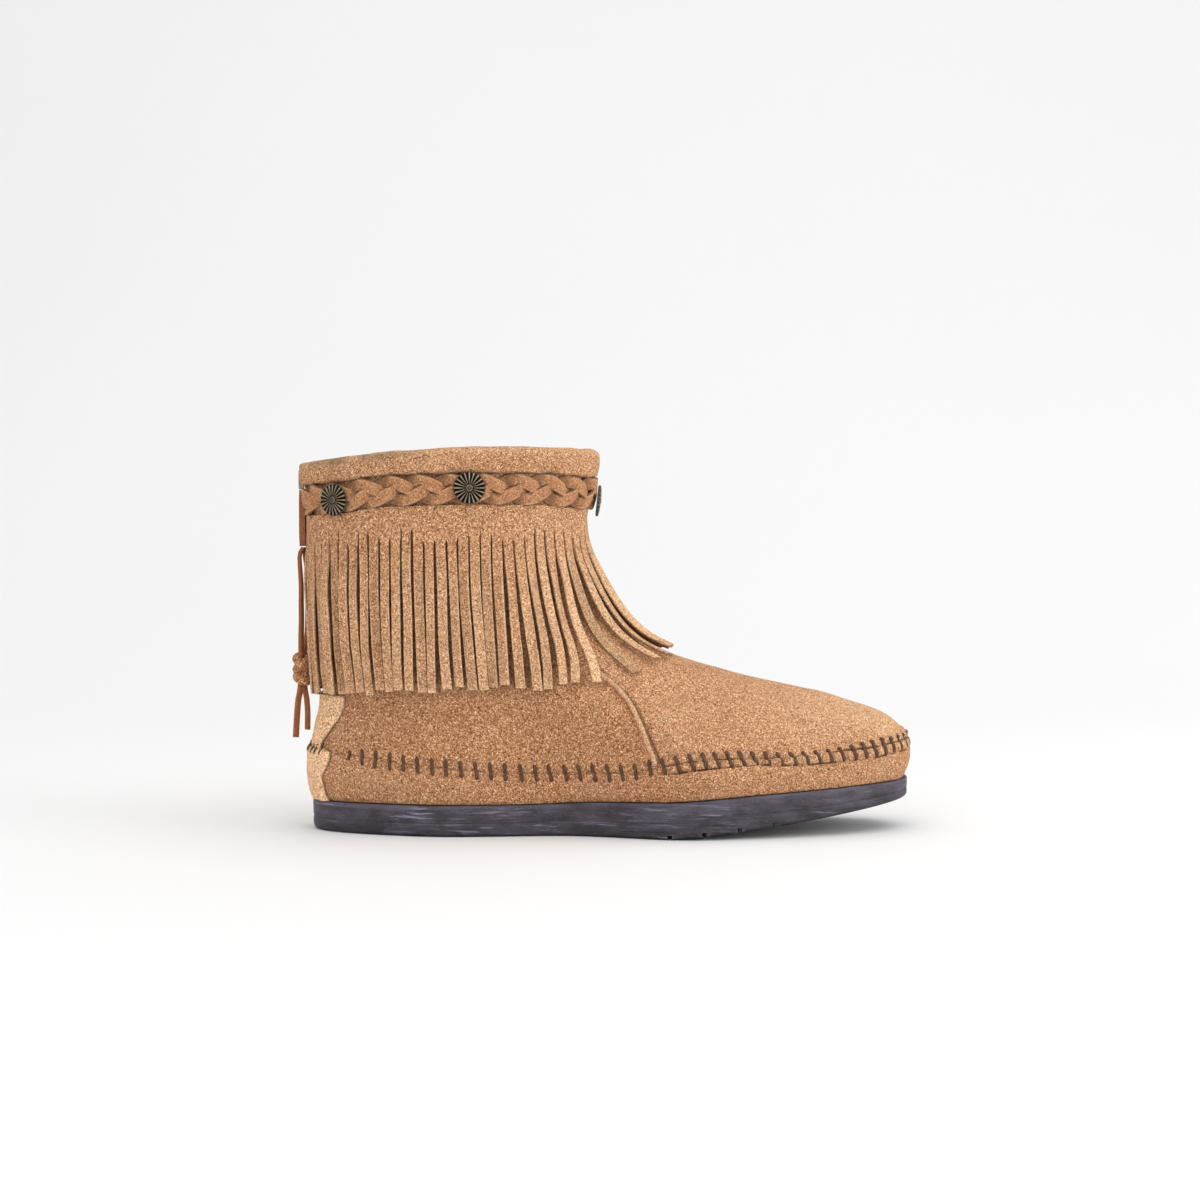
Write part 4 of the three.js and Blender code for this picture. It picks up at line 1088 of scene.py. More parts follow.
class BOOT_OT_sole(bpy.types.Operator):
    """Make the moulded rubber sole with its tread grooves"""
    bl_idname = "boot.sole"
    bl_label = "Sole"

    # Height as a share of the thickness, edge as a share of the rounding, share of the mould line.
    side = [
        (0, 1, 0), (0.02, 0.62, 0), (0.06, 0.33, 0), (0.11, 0.14, 0), (0.17, 0.04, 0), (0.25, 0, 0),
        (0.38, 0, 0), (0.42, 0, 0.5), (0.44, 0, 1), (0.46, 0, 0.5), (0.5, 0, 0), (0.66, 0, 0),
        (0.82, 0, 0), (0.92, 0, 0), (0.97, 0.04, 0), (1, 0.2, 0),
    ]

    def execute(self, context):
        steps = 300
        angles = np.linspace(0, 2 * np.pi, steps, endpoint=False)
        section = np.repeat(SECTIONS[:1], steps, axis=0)
        here = outline_point(section, angles)
        around = outline_point(section, angles + 0.02) - outline_point(section, angles - 0.02)
        out = unit(np.stack([-around[:, 1], around[:, 0], np.zeros(steps)], axis=1))
        rings = []
        for height, edge, line in self.side:
            grow = SOLE_WELT - edge * SOLE_EDGE_ROUND - line * MOULD_LINE_DEPTH
            ring = here + out * grow
            low = sole_bottom(ring[:, 0])
            ring[:, 2] = low + (sole_top(ring[:, 0]) - low) * height
            rings.append(ring)
        points = np.concatenate(rings)
        worn = rough(points, 26, 4) * 0.35 + rough(points, 7, 5) * 0.12
        share = np.repeat([height for height, _, _ in self.side], steps)
        wear = (worn * smoothstep(share, 0.05, 0.3) * (1 - smoothstep(share, 0.9, 1)))[:, None]
        points += np.tile(out, (len(self.side), 1)) * wear
        faces = wrap_faces(len(self.side), steps, True).tolist()
        for shift, flip in ((0, -1), ((len(self.side) - 1) * steps, 1)):
            half = steps // 2
            for step in range(half):
                far = (steps - step) % steps
                corners = [shift + step, shift + step + 1, shift + steps - step - 1, shift + far]
                faces.append(list(dict.fromkeys(corners))[::flip])
        base = np.array([face for face in faces if len(face) == 4])
        if turn_out(points, base) is not base:
            faces = [face[::-1] for face in faces]
        rubbed = smoothstep(share, 0.86, 0.95) * 0.5 + bump(share - 0.45, 0.02) * 0.4
        # Painted shade, near black at the bottom edge by the floor and fading up the lower half of the
        # side.
        soil = 1 - 0.78 * smoothstep(share, 0.0, 0.12) - 0.22 * smoothstep(share, 0.3, 0.7)
        piece = new_piece("sole", points, faces, [rubber_material()],
                          pale=np.clip(rubbed + rough(points, 30, 6) * 0.3, 0, 1), soil=soil)
        self.cut_tread(context, piece)
        shade_by_angle(piece, 35)
        finish_piece(piece, "sole_rubber", "outsole")
        return {"FINISHED"}

    def cut_tread(self, context, piece):
        """Cut the grooves, which are swept forward in the middle."""
        grooves = [(HEEL_SETBACK + k * HEEL_GROOVE_PITCH, HEEL_GROOVE_REACH) for k in (-2, -1, 1, 2)]
        for k, share in enumerate((1, 1, 1, 1, 0.55, 0.45)):
            place = FOREFOOT_GROOVE_START + k * FOREFOOT_GROOVE_PITCH
            grooves.append((place, FOREFOOT_GROOVE_REACH * share))
        parts = []
        for x, reach in grooves:
            half = GROOVE_WIDTH / 2
            end = x - GROOVE_SWEEP
            outline = [(end - half, -reach), (end + half, -reach), (x + half, 0),
                       (end + half, reach), (end - half, reach), (x - half, 0)]
            top = float(sole_bottom(np.array([float(x)]))[0]) + GROOVE_DEPTH
            points = np.array([(px, py, z) for z in (-GROOVE_DEPTH, top) for px, py in outline], float)
            faces = [(0, 5, 2, 1), (5, 4, 3, 2), (6, 7, 8, 11), (11, 8, 9, 10)]
            faces += [(i, (i + 1) % 6, (i + 1) % 6 + 6, i + 6) for i in range(6)]
            parts.append((points, faces))
        points, faces = join_meshes(parts)
        cutter = new_piece("tread_cutter", points, faces, [])
        only(cutter)
        bpy.ops.object.mode_set(mode="EDIT")
        bpy.ops.mesh.select_all(action="SELECT")
        bpy.ops.mesh.normals_make_consistent(inside=False)
        bpy.ops.object.mode_set(mode="OBJECT")
        only(piece)
        cut = piece.modifiers.new("tread", "BOOLEAN")
        cut.object = cutter
        cut.operation = "DIFFERENCE"
        cut.solver = "EXACT"
        bpy.ops.object.modifier_apply(modifier="tread")
        bpy.data.objects.remove(cutter)


class BOOT_OT_upper(bpy.types.Operator):
    """Make the suede upper with its seams, gathers and creases"""
    bl_idname = "boot.upper"
    bl_label = "Upper"

    # Rows of the mesh: from one level of the section table to another, and how many.
    rows = [(0, 2, 9), (2, 3, 10), (3, 4, 8), (4, 5, 16), (5, 6, 10), (6, 11, 24), (11, LAST_ROW, 20)]

    def execute(self, context):
        columns = 720
        lengths = np.linspace(0, SEAM_LENGTHS[-1], columns, endpoint=False)
        angles = np.interp(lengths, SEAM_LENGTHS, SEAM_ANGLES)
        levels = np.concatenate([
            np.linspace(low, high, steps, endpoint=False) for low, high, steps in self.rows])
        levels = np.append(levels, LAST_ROW)
        level, angle = np.meshgrid(levels, angles, indexing="ij")
        base = surface(level, angle)
        out = outward(level, angle)
        seam = surface(SEAM_ROW, angles)
        gap = np.linalg.norm(base - seam, axis=2) * np.sign(level - SEAM_ROW) - seam_shift(seam[:, 0])
        stitch = np.interp(lengths - STITCH_LEAN * gap, SEAM_LENGTHS, stitch_numbers())
        lift, pale, soil, toe = self.shape(base, level, stitch, gap)
        outer = base + out * lift[..., None]
        inner_rows = 24
        inner_levels = np.linspace(LAST_ROW, 0, inner_rows)
        inner_level, inner_angle = np.meshgrid(inner_levels, angles, indexing="ij")
        dents = np.minimum(unevenness(surface(inner_level, inner_angle), inner_level), 0)
        inner = on_upper(inner_level, inner_angle, dents - UPPER_WALL)
        points = np.concatenate([outer.reshape(-1, 3), inner.reshape(-1, 3)])
        all_rows = len(levels) + inner_rows
        faces = turn_out(points, wrap_faces(all_rows, columns))
        slots = np.repeat(np.arange(all_rows) >= len(levels), columns)
        leather = suede("upper suede", *plain_suede_colours(), seam=True)
        layers = {key: np.append(values, np.full(inner_level.size, rest)) for key, values, rest in (
            ("pale", pale, 0), ("soil", soil, 0), ("gap", gap, FAR_FROM_SEAM), ("toe", toe, 0))}
        piece = new_piece("boot_upper", points, faces, [leather, lining_material()], slots, **layers)
        finish_piece(piece, "suede", "upper")
        return {"FINISHED"}

    def shape(self, base, level, stitch, gap):
        """How far the leather stands out at each place, how pale it is and how much painted shade it
        takes.
        """
        x, y, z = base[..., 0], base[..., 1], base[..., 2]
        toe = toe_share(x)
        lift = unevenness(base, level) + seam_relief(x, stitch, gap)
        slot = smoothstep(-np.abs(y), -ZIP_GAP / 2 - 0.2, -ZIP_GAP / 2 + 0.2)
        slot = slot * (x < 20) * (z > ZIP_BOTTOM)
        lift = lift * (1 - slot) - slot * (UPPER_WALL - CLEARANCE)

        welt_x = welt_line(np.clip((z - WELT_BOTTOM) / (WELT_TOP - WELT_BOTTOM), 0, 1))
        vamp = smoothstep(x - welt_x, 0, 1.2) * smoothstep(gap, -0.6, 0.6)
        beside = bump(x - welt_x - 1.5, 0.65) * smoothstep(gap, 0, 3) * (z < WELT_TOP + 3)
        lift -= 0.8 * beside + 0.6 * bump(x - welt_x + 4.5, 3.5) * smoothstep(gap, 0, 3)
        wall = 1 - smoothstep(gap, -5, -3)
        pale = 0.2 * vamp + 0.62 * smoothstep(x, 178, 250) * smoothstep(z, 30, 54) + 0.06 * wall
        pale += 0.16 * wall * smoothstep(x, 150, 240)
        pale += 0.14 * rough(base, 30, 3) + 0.35 * toe * bump(gap + 1.9, 1.3)
        # Painted shade in the groove beside the piping and on the quarter under the fringe, from just
        # below its hem up; also a faint darker band just above the sole.
        soil = 0.95 * beside + 0.3 * bump(gap + 19, 2) * (level < 0.6)
        hem = FRINGE_TOP - FRINGE_DROP * smooth_curve(FRINGE_STATIONS, FRINGE_DROPS, x / SHAFT_LENGTH)
        hem += np.clip(x - 96, 0, 60) * 0.5
        soil += 0.6 * smoothstep(z - hem, -2, 6) * (1 - smoothstep(z - FRINGE_TOP, -3, 2))
        return lift, np.clip(pale, 0, 1), np.clip(soil, 0, 1), toe


class BOOT_OT_moc_stitches(bpy.types.Operator):
    """Sew the moccasin seam with slanted stitches"""
    bl_idname = "boot.moc_stitches"
    bl_label = "Moccasin stitches"

    def execute(self, context):
        sizes = context.scene.boot_sizes
        numbers = stitch_numbers()
        half = sizes.stitch_length / MM / 2
        width = sizes.stitch_width / MM
        shares = np.linspace(-1, 1, 11)
        profile = np.array([0.3, 0.85, 1.08, 1.0, 0.84, 0.78, 0.84, 1.0, 1.08, 0.85, 0.3])
        # Each stitch: place along the seam, reach to each side, lean, lift and share of the width.
        stitches = []
        for index in range(round(numbers[-1])):
            middle = float(np.interp(index, numbers, SEAM_LENGTHS))
            x = float(np.interp(middle, SEAM_LENGTHS, SEAM_POINTS[:, 0]))
            if x > SEAM_START:
                reach = half * (0.3 + 0.7 * float(smoothstep(x, 11, 27)))
                reach *= 1 + 0.06 * float(vary(index, 1))
                middle += 0.25 * float(vary(index, 2))
                stitches.append((middle, reach, STITCH_LEAN, 0.3, 1.0))
        heel_pitch, heel_reach, heel_lean, heel_lift, heel_width = 3.2, 2.9, 0.05, 0.95, 0.68
        for index in range(-5, 6):
            middle = index * heel_pitch + 0.4 * float(vary(index, 4))
            stitches.append((middle, heel_reach, heel_lean, BACKSTAY_WALL + heel_lift, heel_width))
        middles, reaches, leans, lifts, sizes = np.array(stitches).T[:, :, None]
        leans = leans + 0.07 * vary(np.arange(len(stitches)), 3)[:, None]
        lengths = middles[:, 0] % SEAM_LENGTHS[-1]
        angles = np.interp(lengths, SEAM_LENGTHS, SEAM_ANGLES)
        centre = np.interp(lengths, SEAM_LENGTHS, SEAM_POINTS[:, 0])
        levels, angles = stitch_paths(angles, seam_shift(centre), reaches[:, 0], leans[:, 0], shares,
                                      smoothstep(centre, 182, 205)[:, None])
        base = surface(levels, angles)
        relief = unevenness(base, levels) + seam_relief(base[..., 0], 0, reaches * shares)
        toe = toe_share(centre)[:, None]
        front = smoothstep(centre, 240, 252)[:, None]
        arch = lifts + 0.25 * toe - 0.8 * front - 0.85 * np.abs(shares) ** 4
        paths = on_upper(levels, angles, arch + relief)
        ups = outward(levels, angles)
        section = rounded_section(width, width * 0.75, 8, 2.4)[None] * profile[:, None, None]
        parts = [sweep(path, up, section * size) for path, up, size in zip(paths, ups, sizes[:, 0])]
        points, faces = join_meshes(parts)
        piece = new_piece("moc_stitches", points, faces, [thread_material()])
        finish_piece(piece, "lace")
        return {"FINISHED"}


class BOOT_OT_backstay(bpy.types.Operator):
    """Lay the pale strip up the back of the heel"""
    bl_idname = "boot.backstay"
    bl_label = "Backstay"

    def execute(self, context):
        columns, rows = 48, 84
        share = np.linspace(-1, 1, columns + 1)[:, None]
        up = np.linspace(0, 1, rows + 1)[None]
        height = HEEL_THICKNESS + 2 * CLEARANCE + up * (BACKSTAY_TOP - HEEL_THICKNESS - 2 * CLEARANCE)
        half = smooth_curve(BACKSTAY_UP, BACKSTAY_HALF, up)
        height, share = np.broadcast_arrays(height, share)
        angle = back_angle(np.broadcast_to(half, share.shape), height) * share
        level = level_at(height, angle)
        seat = surface(SEAM_ROW, angle)
        gap = height - seat[..., 2]
        rim = np.abs(share)
        raised = BACKSTAY_WALL * (1 - 0.75 * smoothstep(rim, 0.86, 1)) + 0.35 * bump(rim - 0.82, 0.08)
        raised = raised + 0.3 * rough(seat + np.stack([gap * 0, gap * 0, gap], -1), 9, 8)
        raised = raised - 0.4 * bump(gap, 0.9)
        outer = on_upper(level, angle, 0.6 + raised + 0.5 * unevenness(surface(level, angle), level))
        inner = on_upper(level, angle, 0.0)
        points, faces, used = sheet_mesh(outer, inner)
        # Painted shade along the strip's edges and in its dent across the seam.
        dark = 0.75 * smoothstep(rim, 0.965, 1) + 0.4 * bump(gap, 0.6)
        colour = chosen("pale_suede")
        leather = suede("pale suede", times(colour, 0.72), times(colour, 1.36), chosen("soil"), 1.1)
        piece = new_piece("heel_strip", points, faces, [leather],
                          pale=both_sides(used, 0.9 + 0.1 * rim, rim * 0 + 0.7),
                          soil=np.clip(both_sides(used, dark, dark), 0, 1))
        finish_piece(piece, "pale_suede", "backstay")
        return {"FINISHED"}


class BOOT_OT_vamp_welts(bpy.types.Operator):
    """Lay the piped seams between the quarters and the vamp"""
    bl_idname = "boot.vamp_welts"
    bl_label = "Vamp welts"

    def execute(self, context):
        steps = 48
        up = np.linspace(0, 1, steps)
        for side in ("lateral", "medial"):
            height = WELT_BOTTOM - 1.5 + up * (WELT_TOP - WELT_BOTTOM + 1.5)
            angle = angle_at(welt_line(up), height, side == "lateral")
            level = level_at(height, angle)
            wave = 0.12 * vary(np.arange(steps) // 3, 5)
            path = on_upper(level, angle, 0.35 + wave + unevenness(surface(level, angle), level))
            piece = suede_bar(f"vamp_piping_{side}", path, outward(level, angle),
                              rounded_section(1.9, 1.9, 14, 2.3), 0.85)
            finish_piece(piece, "pale_suede", f"vamp_welt_{side}")
        return {"FINISHED"}


BAND_LEVEL = BOOT_HEIGHT - COLLAR_DEPTH - COLLAR_BACK_DROP


def band_rise(angle):
    return smooth_curve(BAND_STATIONS, BAND_RISES, (1 - np.cos(angle)) / 2)


def band_level(angle):
    """The height of the collar band's lower edge, a little lower at the back."""
    backness = (1 + np.cos(angle)) / 2
    edge = BOOT_HEIGHT - COLLAR_DEPTH - COLLAR_BACK_DROP * backness * backness
    return edge + band_rise(angle)


def braid_height(angle, up):
    return band_level(angle) - CLEARANCE - BRAID_WIDTH * (1 - up)


class BOOT_OT_collar(bpy.types.Operator):
    """Fold the collar band over the rim"""
    bl_idname = "boot.collar"
    bl_label = "Collar band"

    def execute(self, context):
        angles, _ = even_angles(BAND_LEVEL, ZIP_FLANK, 300)
        rim = surface(LAST_ROW, angles)
        outer, inner, shares = [], [], []
        for down in 1 - np.linspace(0, 1, 11)[:-1]:
            thinned = 0.55 if down == 1 else 1
            puff = 0.45 * math.sin(math.pi * down)
            outer.append(self.side_ring(angles, rim, down, COLLAR_WALL * thinned, puff))
            inner.append(self.side_ring(angles, rim, down, COLLAR_LINING * thinned, 0))
            shares.append(down)
        for turn in np.linspace(0, 1, 13):
            outer.append(self.fold_ring(angles, rim, turn, COLLAR_WALL))
            inner.append(self.fold_ring(angles, rim, turn, COLLAR_LINING))
            shares.append(-0.001 if turn > 0.5 else 0.001)
        for down in -np.linspace(0.2, 1, 5):
            outer.append(self.side_ring(angles, rim, down, COLLAR_WALL, 0))
            inner.append(self.side_ring(angles, rim, down, COLLAR_LINING, 0))
            shares.append(down)
        outer, inner = np.stack(outer, axis=1), np.stack(inner, axis=1)
        share = np.broadcast_to(np.array(shares)[None], outer.shape[:2])
        relief = rough(outer, 14, 9) * 0.5 + rough(outer, 5, 10) * 0.14
        centre = outer.mean(axis=0, keepdims=True)
        away = unit((outer - inner) + 1e-6 * (outer - centre))
        outer = outer + away * relief[..., None]
        points, faces, used = sheet_mesh(outer, inner)
        x, z = outer[..., 0], outer[..., 2]
        top = smoothstep(z - rim[:, 2][:, None], -2.5, 1.5)
        dirt = top * smoothstep(-np.abs(x - 22), -34, -6) * smoothstep(rough(outer, 6, 11), -0.8, 0.5)
        # The band's lower edge by the plait gets painted shade in the dirt colour, and the handled top
        # gets dirt.
        edge = smoothstep(share, 0.9, 1)
        soil = np.clip(0.8 * dirt + 0.5 * edge, 0, 1)
        pale = np.clip(0.24 + 0.3 * top + 0.2 * rough(outer, 20, 12), 0, 1)
        leather = suede("handled suede", chosen("suede"), chosen("pale_suede"), chosen("dirt"))
        piece = new_piece("collar_fold", points, faces, [leather], pale=both_sides(used, pale, pale),
                          soil=both_sides(used, soil, soil))
        finish_piece(piece, "suede", "collar_band")
        return {"FINISHED"}

    def side_ring(self, angles, rim, down, wall, puff):
        """A ring of the band on the outside of the leg, or on the inside where down is below 0."""
        reach = UPPER_WALL / 2 + CLEARANCE + wall
        outside = down > 0
        low = band_level(angles) if outside else rim[:, 2] - COLLAR_INSIDE
        height = rim[:, 2] + (low - rim[:, 2]) * abs(down)
        height = np.minimum(height, rim[:, 2] - 0.05)
        lift = (reach + puff if outside else -reach) - UPPER_WALL / 2
        return on_upper(level_at(height, angles), angles, lift)

    def fold_ring(self, angles, rim, turn, wall):
        """A ring of the band over the rim, from the outside at turn 0 to the inside at turn 1."""
        reach = UPPER_WALL / 2 + CLEARANCE + wall
        power = 1 - 0.5 * ((1 + np.cos(angles)) / 2) ** 6
        cosine, sine = math.cos(turn * math.pi), abs(math.sin(turn * math.pi))
        over = reach * np.sign(cosine) * abs(cosine) ** power - UPPER_WALL / 2
        ring = rim + outward(LAST_ROW, angles) * over[:, None]
        ring[:, 2] += (CLEARANCE + wall) * sine ** power
        return ring


class BOOT_OT_plait(bpy.types.Operator):
    """Plait three strands into the band under the collar"""
    bl_idname = "boot.plait"
    bl_label = "Plait"

    def execute(self, context):
        width = context.scene.boot_sizes.strand_width / MM
        steps = 560
        angles, total = even_angles(BAND_LEVEL, ZIP_FLANK, steps)
        length = np.linspace(0, total, steps + 1)
        wave = 2 * np.pi * length / (3 * BRAID_PITCH)
        near_end = np.minimum(length, total - length)
        spread = 0.35 + 0.65 * smoothstep(near_end, 0, 9)
        reach = (BRAID_WIDTH - width * 0.86) / 2
        parts, pales, shade_and_grime_values = [], [], []
        for strand in range(3):
            turn = wave + strand * 2 * np.pi / 3 + 0.18 * np.sin(length / 23 + strand)
            across = (np.sin(turn) - 0.07 * np.sin(3 * turn)) * reach * spread
            level = level_at(braid_height(angles, 0.5 + across / BRAID_WIDTH), angles)
            path = on_upper(level, angles, 1.75 + np.sin(2 * turn) * spread)
            up = outward(level, angles)
            tilt = 0.34 * np.cos(2 * turn) * np.sign(np.cos(turn))
            up = unit(up + np.stack([tilt * 0, tilt * 0, tilt], axis=1))
            section = rounded_section(width, 1.55, 16, 3.4)
            section[:, 1] += 0.3 * (1 - (section[:, 0] / (width / 2)) ** 2)
            parts.append(sweep(path, up, section))
            edge = np.abs(section[:, 0]) / (width / 2)
            pales.append(np.tile(0.12 + 0.3 * smoothstep(edge, 0.6, 0.85), steps + 1))
            # Painted shade where a strand passes under the others and along each strand's edges.
            under = 1 - smoothstep(np.sin(2 * turn), -0.75, 0.15)
            shade_and_grime_values.append(np.clip(0.6 * under[:, None] + 0.9 * (edge > 0.9)[None], 0, 1).ravel())
        points, faces = join_meshes(parts)
        leather = suede("plaited suede", *plain_suede_colours(), 0.55)
        piece = new_piece("plait", points, faces, [leather], pale=np.concatenate(pales),
                          soil=np.concatenate(shade_and_grime_values))
        finish_piece(piece, "suede", "braid")
        return {"FINISHED"}


class BOOT_OT_conchos(bpy.types.Operator):
    """Set the fluted brass studs on the plait"""
    bl_idname = "boot.conchos"
    bl_label = "Studs"

    def execute(self, context):
        for name, at, up, sides in CONCHOS:
            for side in sides:
                height = float(braid_height(np.pi / 2, up))
                angle = np.pi
                if at < 1:
                    angle = float(angle_at(at * SHAFT_LENGTH, height, side == "lateral"))
                level = level_at(braid_height(angle, up), angle)
                lift = max(BRAID_BASE + BRAID_RELIEF, COLLAR_WALL) + 2 * CLEARANCE
                place = on_upper(level, angle, lift)
                out = outward(level, angle) * np.array([1, 1, 0.4])
                node = f"concho_{name}_{side}" if at < 1 else f"concho_{name}"
                piece = self.stud(context, node.replace("concho", "stud"), place, Vector(out))
                finish_piece(piece, "brass", node)
        return {"FINISHED"}

    def stud(self, context, name, place, out):
        """A domed disc with radial flutes, a plain rim and a plate with a small raised diamond."""
        radius = context.scene.boot_sizes.concho_diameter / MM / 2
        spokes, flutes, plate = 200, 20, 0.26
        rings = np.concatenate([
            np.linspace(0, 0.36, 16), [0.45, 0.6, 0.75, 0.86, 0.92, 0.97, 1.0, 1.0, 0.9]])
        turns = np.linspace(0, 2 * np.pi, spokes, endpoint=False)
        share, turn = np.meshgrid(rings, turns, indexing="ij")
        crown = CONCHO_HEIGHT * (0.38 + 0.36 * (1 - share ** 2))
        fluting = np.cos(flutes * turn)
        flute_zone = smoothstep(share, 0.25, 0.33) * (1 - smoothstep(share, 0.95, 0.99))
        diamond = np.abs(share * np.cos(turn)) + np.abs(share * np.sin(turn))
        height = crown + 0.42 * fluting * flute_zone * (0.35 + 0.65 * share)
        raised = 0.3 * bump(diamond - 0.18, 0.035) + 0.35 * bump(share, 0.05)
        height += raised - 0.3 * bump(share - plate, 0.03)
        height[-3:] = [[CONCHO_HEIGHT * 0.34], [0.25], [0]]
        reach = radius * share * (1 + 0.012 * fluting * (share > 0.95))
        points = np.stack([reach * np.cos(turn), reach * np.sin(turn), height], axis=-1)
        hollow = bump(diamond - 0.11, 0.035) + bump(share - plate, 0.035) + 0.5 * (share < plate)
        # Darker round the rim.
        darker_rim = 0.7 * smoothstep(share, 0.93, 0.98)
        flutes_low = (1 - smoothstep(fluting, 0.05, 0.9)) * flute_zone
        soil = np.clip(flutes_low + 0.9 * hollow + darker_rim, 0, 1)
        flat = np.concatenate([points[1:].reshape(-1, 3), points[0].mean(axis=0)[None], [[0, 0, 0]]])
        shade_and_grime_values = np.concatenate([soil[1:].ravel(), [0, 1]])
        rows = len(rings) - 1
        faces = wrap_faces(rows, spokes, True)[:, [0, 3, 2, 1]].tolist()
        for spoke in range(spokes):
            beside = (spoke + 1) % spokes
            faces.append((rows * spokes, spoke, beside))
            last = (rows - 1) * spokes
            faces.append((last + beside, last + spoke, rows * spokes + 1))
        turn_to = out.to_track_quat("Z", "Y").to_matrix()
        placed = flat @ np.array(turn_to).T + place
        return new_piece(name, placed, faces, [brass_material()], soil=shade_and_grime_values)


class BOOT_OT_fringe(bpy.types.Operator):
    """Cut the fringe into its strips"""
    bl_idname = "boot.fringe"
    bl_label = "Fringe"

    def execute(self, context):
        sizes = context.scene.boot_sizes
        wall = sizes.strip_wall / MM
        rows = 58
        down = np.linspace(0, 1, rows + 1)
        edges, total = even_angles(FRINGE_TOP, ZIP_FLANK, STRIPS)
        middles = (edges[1:] + edges[:-1]) / 2
        middle, out = self.places(middles, down)
        strips = np.arange(STRIPS)

        def own(salt):
            """Each strip's own variation."""
            return vary(strips, salt)[:, None]

        pitch = total / STRIPS
        width = sizes.strip_width / MM * (1 + 0.09 * vary(strips, 11))
        width = np.minimum(width, pitch - 0.25)
        rise = band_rise(middles)
        slit = (FRINGE_BAND + rise + 4 * vary(strips, 12)) / (FRINGE_DROP + rise)
        place = surface(level_at(FRINGE_TOP, middles), middles)[:, 0]
        front = smoothstep(place, 82, 114)
        # Painted light: the strips towards the front are paler as if lit, on top of each strip's own
        # tone.
        tones = 0.2 + 0.25 * smoothstep(place, 8, 50) + 0.2 * vary(strips, 19) + 0.62 * front
        free = smoothstep(down[None] - slit[:, None], 0, 0.35)
        swing = 0.5 * own(13) * down ** 1.7 + 0.2 * np.sin(down * 7 + 6 * own(14)) * free
        swing = swing * (1 - 0.4 * front[:, None])
        curl = 0.35 * own(15) * free + 0.25 * np.sin(down * 5 + 9 * own(16)) * free
        highest = 1.5
        raise_up = (0.35 + 0.35 * own(17) + 0.4 * (strips % 2)[:, None]) * highest * free
        across = unit(np.stack([-out[..., 1], out[..., 0], 0 * out[..., 0]], axis=-1))
        middle = middle + across * swing[..., None] + out * raise_up[..., None]
        inner, outer, pale, soil = [], [], [], []
        shares = np.array([-1, -0.9, -0.72, -0.25, 0.25, 0.72, 0.9, 1])
        open_width = width[:, None] + (pitch + 0.05 - width[:, None]) * (1 - smoothstep(
            down[None] - slit[:, None], -0.01, 0.015))
        ragged = 1 + 0.025 * vary(np.arange(rows + 1)[None] + 61 * strips[:, None], 21)
        open_width = open_width * (1 + (ragged - 1) * (free > 0.05))
        tilt_across = unit(across * np.cos(curl)[..., None] + out * np.sin(curl)[..., None])
        tilt_out = unit(out * np.cos(curl)[..., None] - across * np.sin(curl)[..., None])
        for strip in range(STRIPS):
            for share in shares[::-1]:
                side = middle[strip] + tilt_across[strip] * (share * open_width[strip] / 2)[:, None]
                round_off = 0.2 * wall * (abs(share) > 0.95) * free[strip]
                crown = 0.22 * (1 - share ** 2) * float(vary(strip, 18)) * free[strip]
                inner.append(side + tilt_out[strip] * (crown + round_off)[:, None])
                outer.append(side + tilt_out[strip] * (wall + crown - round_off)[:, None])
                # A painted highlight along each strip's cut edges.
                edge = smoothstep(abs(share), 0.7, 0.92)
                pale.append(tones[strip] * (0.35 + 0.65 * free[strip]) + 0.85 * edge * free[strip]
                            + 0.6 * smoothstep(down, 0.965, 0.985))
                # Painted shade on the strips that hang further back.
                behind = 0.3 * (1 - raise_up[strip] / highest) ** 2 * free[strip]
                soil.append(behind * (1 - edge))
        inner, outer = np.array(inner), np.array(outer)
        columns = len(inner) - 1
        has = np.ones((columns, rows), bool)
        for strip, column in enumerate(range(len(shares) - 1, columns, len(shares))):
            has[column] = down[1:] < slit[strip]
        points, faces, used = sheet_mesh(outer, inner, has)
        pale = np.array(pale)
        # Painted shade on the strips' inner faces.
        hidden = np.repeat(free, len(shares), axis=0) * 0.85
        # The pale colour is brightened for the painted light on the fringe.
        leather = suede("cut suede", chosen("suede"), times(chosen("pale_suede"), 1.1), chosen("soil"))
        piece = new_piece("cut_fringe", points, faces, [leather],
                          pale=np.clip(both_sides(used, pale, pale), 0, 1),
                          soil=np.clip(both_sides(used, np.array(soil), hidden), 0, 1))
        shade_by_angle(piece, 55)
        finish_piece(piece, "suede", "fringe")
        return {"FINISHED"}

    def places(self, angles, down):
        """The middle of each strip on its way down, and the way out of the leg there."""
        start = on_upper(level_at(FRINGE_TOP, angles), angles, CLEARANCE)
        at = start[:, 0] / SHAFT_LENGTH
        strips = np.arange(len(angles))
        drop = FRINGE_DROP * smooth_curve(FRINGE_STATIONS, FRINGE_DROPS, at) + 1.2 * vary(strips, 1)
        drop = drop + band_rise(angles)
        lean = FRINGE_DROP * smooth_curve(FRINGE_STATIONS, FRINGE_LEANS, at)
        top = braid_height(angles, 0.0) - CLEARANCE
        height = top[:, None] - down[None] * drop[:, None]
        x = start[:, :1] + lean[:, None] * down[None] ** 2
        y = np.broadcast_to(start[:, 1:2], x.shape)
        lateral = y < 0
        step = 0.01

        def turned(half):
            return np.where(lateral, 2 * np.pi - half, half)

        def measure(half):
            here = surface(level_at(height, turned(half), 14), turned(half))
            ahead = surface(level_at(height, turned(half + step), 14), turned(half + step)) - here
            return ahead[..., 0] * (here[..., 0] - x) + ahead[..., 1] * (here[..., 1] - y)

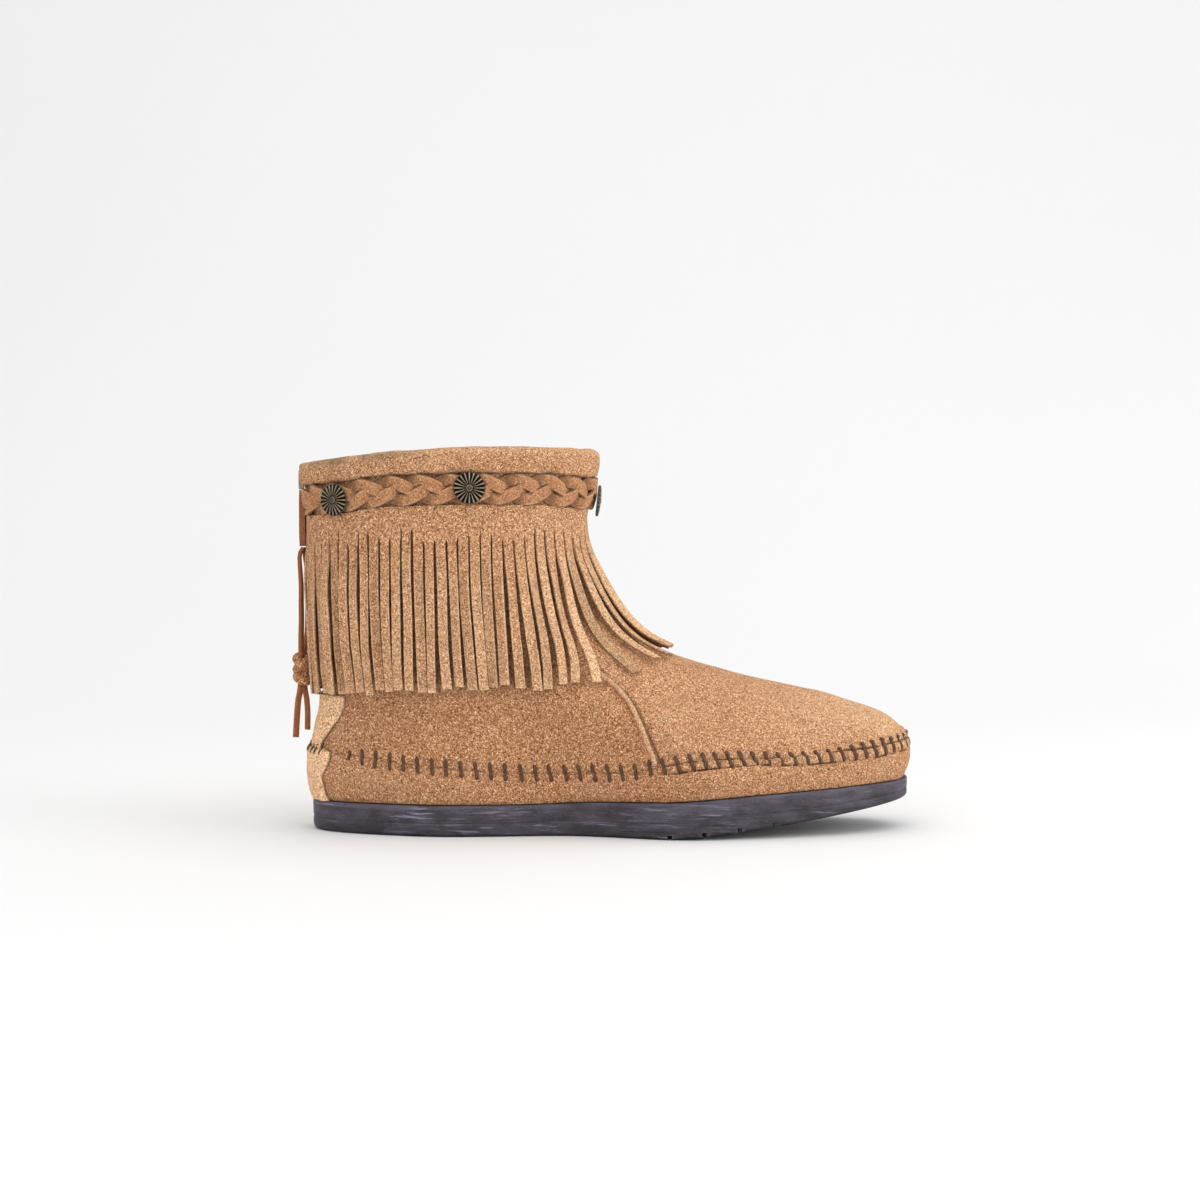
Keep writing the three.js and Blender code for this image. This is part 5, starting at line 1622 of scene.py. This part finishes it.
        half = solve(step, np.pi - step, np.zeros(x.shape), measure, 16)
        follow = smoothstep(at, FOLLOW_START, 1)[:, None]
        angle = turned(half) * (1 - follow) + angles[:, None] * follow
        level = level_at(height, angle)
        out = outward(level, angle)
        seat = surface(level, angle)
        plumb = out[..., 0] * (x - seat[..., 0]) + out[..., 1] * (y - seat[..., 1])
        raised = np.clip(plumb, CLEARANCE + FRINGE_SLACK * down[None], FRINGE_HANG)
        return seat + out * raised[..., None], out


class BOOT_OT_zip(bpy.types.Operator):
    """Finish the zip: raw edges, tape, teeth, slider and pull strip"""
    bl_idname = "boot.zip"
    bl_label = "Zip"

    def execute(self, context):
        steps = 90
        height = np.linspace(ZIP_BOTTOM + 1, BAND_LEVEL + 1.2, steps)
        ragged = 0.16 * vary(np.arange(steps), 31)
        for side, sign in (("lateral", -1), ("medial", 1)):
            angle = back_angle(sign * (ZIP_GAP / 2 + 0.75 + ragged), height) % (2 * np.pi)
            level = level_at(height, angle)
            path = on_upper(level, angle, 0.7 + 0.12 * vary(np.arange(steps) // 2, 32))
            piece = suede_bar(f"zip_edge_{side}", path, outward(level, angle),
                              rounded_section(1.25, 1.5, 12, 2.6), 0.8)
            finish_piece(piece, "pale_suede")
        looks = {
            "zip_tape": tape_material(),
            "zip_teeth": brass_material(),
            "zip_slider": brass_material(),
            "zip_pull": lace_material(),
            "insole": lining_material(),
        }
        for node, material in looks.items():
            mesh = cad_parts[node].data
            mesh.materials.clear()
            mesh.materials.append(material)
        return {"FINISHED"}


class BOOT_PT_panel(bpy.types.Panel):
    """The boot's pieces, sizes and colours"""
    bl_idname = "BOOT_PT_panel"
    bl_label = "Moccasin boot"
    bl_space_type = "VIEW_3D"
    bl_region_type = "UI"
    bl_category = "Boot"

    def draw(self, context):
        for operator in OPERATORS:
            self.layout.operator(operator.bl_idname)
        for group in (context.scene.boot_sizes, context.scene.boot_colours, context.scene.boot_stage):
            box = self.layout.box()
            for key in group.bl_rna.properties.keys():
                if key not in ("rna_type", "name"):
                    box.prop(group, key)


GROUPS = {"boot_sizes": BootSizes, "boot_colours": BootColours, "boot_stage": BootStage}
OPERATORS = (
    BOOT_OT_stage, BOOT_OT_pull_laces, BOOT_OT_sole, BOOT_OT_upper, BOOT_OT_moc_stitches,
    BOOT_OT_backstay, BOOT_OT_vamp_welts, BOOT_OT_collar, BOOT_OT_plait, BOOT_OT_conchos,
    BOOT_OT_fringe, BOOT_OT_zip,
)


def register():
    for group in GROUPS.values():
        bpy.utils.register_class(group)
    for operator in OPERATORS:
        bpy.utils.register_class(operator)
    bpy.utils.register_class(BOOT_PT_panel)
    for name, group in GROUPS.items():
        setattr(bpy.types.Scene, name, bpy.props.PointerProperty(type=group))


def unregister():
    for name in GROUPS:
        delattr(bpy.types.Scene, name)
    bpy.utils.unregister_class(BOOT_PT_panel)
    for operator in reversed(OPERATORS):
        bpy.utils.unregister_class(operator)
    for group in reversed(list(GROUPS.values())):
        bpy.utils.unregister_class(group)


def main():
    register()
    bpy.ops.boot.stage()
    bpy.ops.boot.pull_laces()
    bpy.ops.boot.sole()
    bpy.ops.boot.upper()
    bpy.ops.boot.moc_stitches()
    bpy.ops.boot.backstay()
    bpy.ops.boot.vamp_welts()
    bpy.ops.boot.collar()
    bpy.ops.boot.plait()
    bpy.ops.boot.conchos()
    bpy.ops.boot.fringe()
    bpy.ops.boot.zip()


if __name__ == "__main__":
    main()
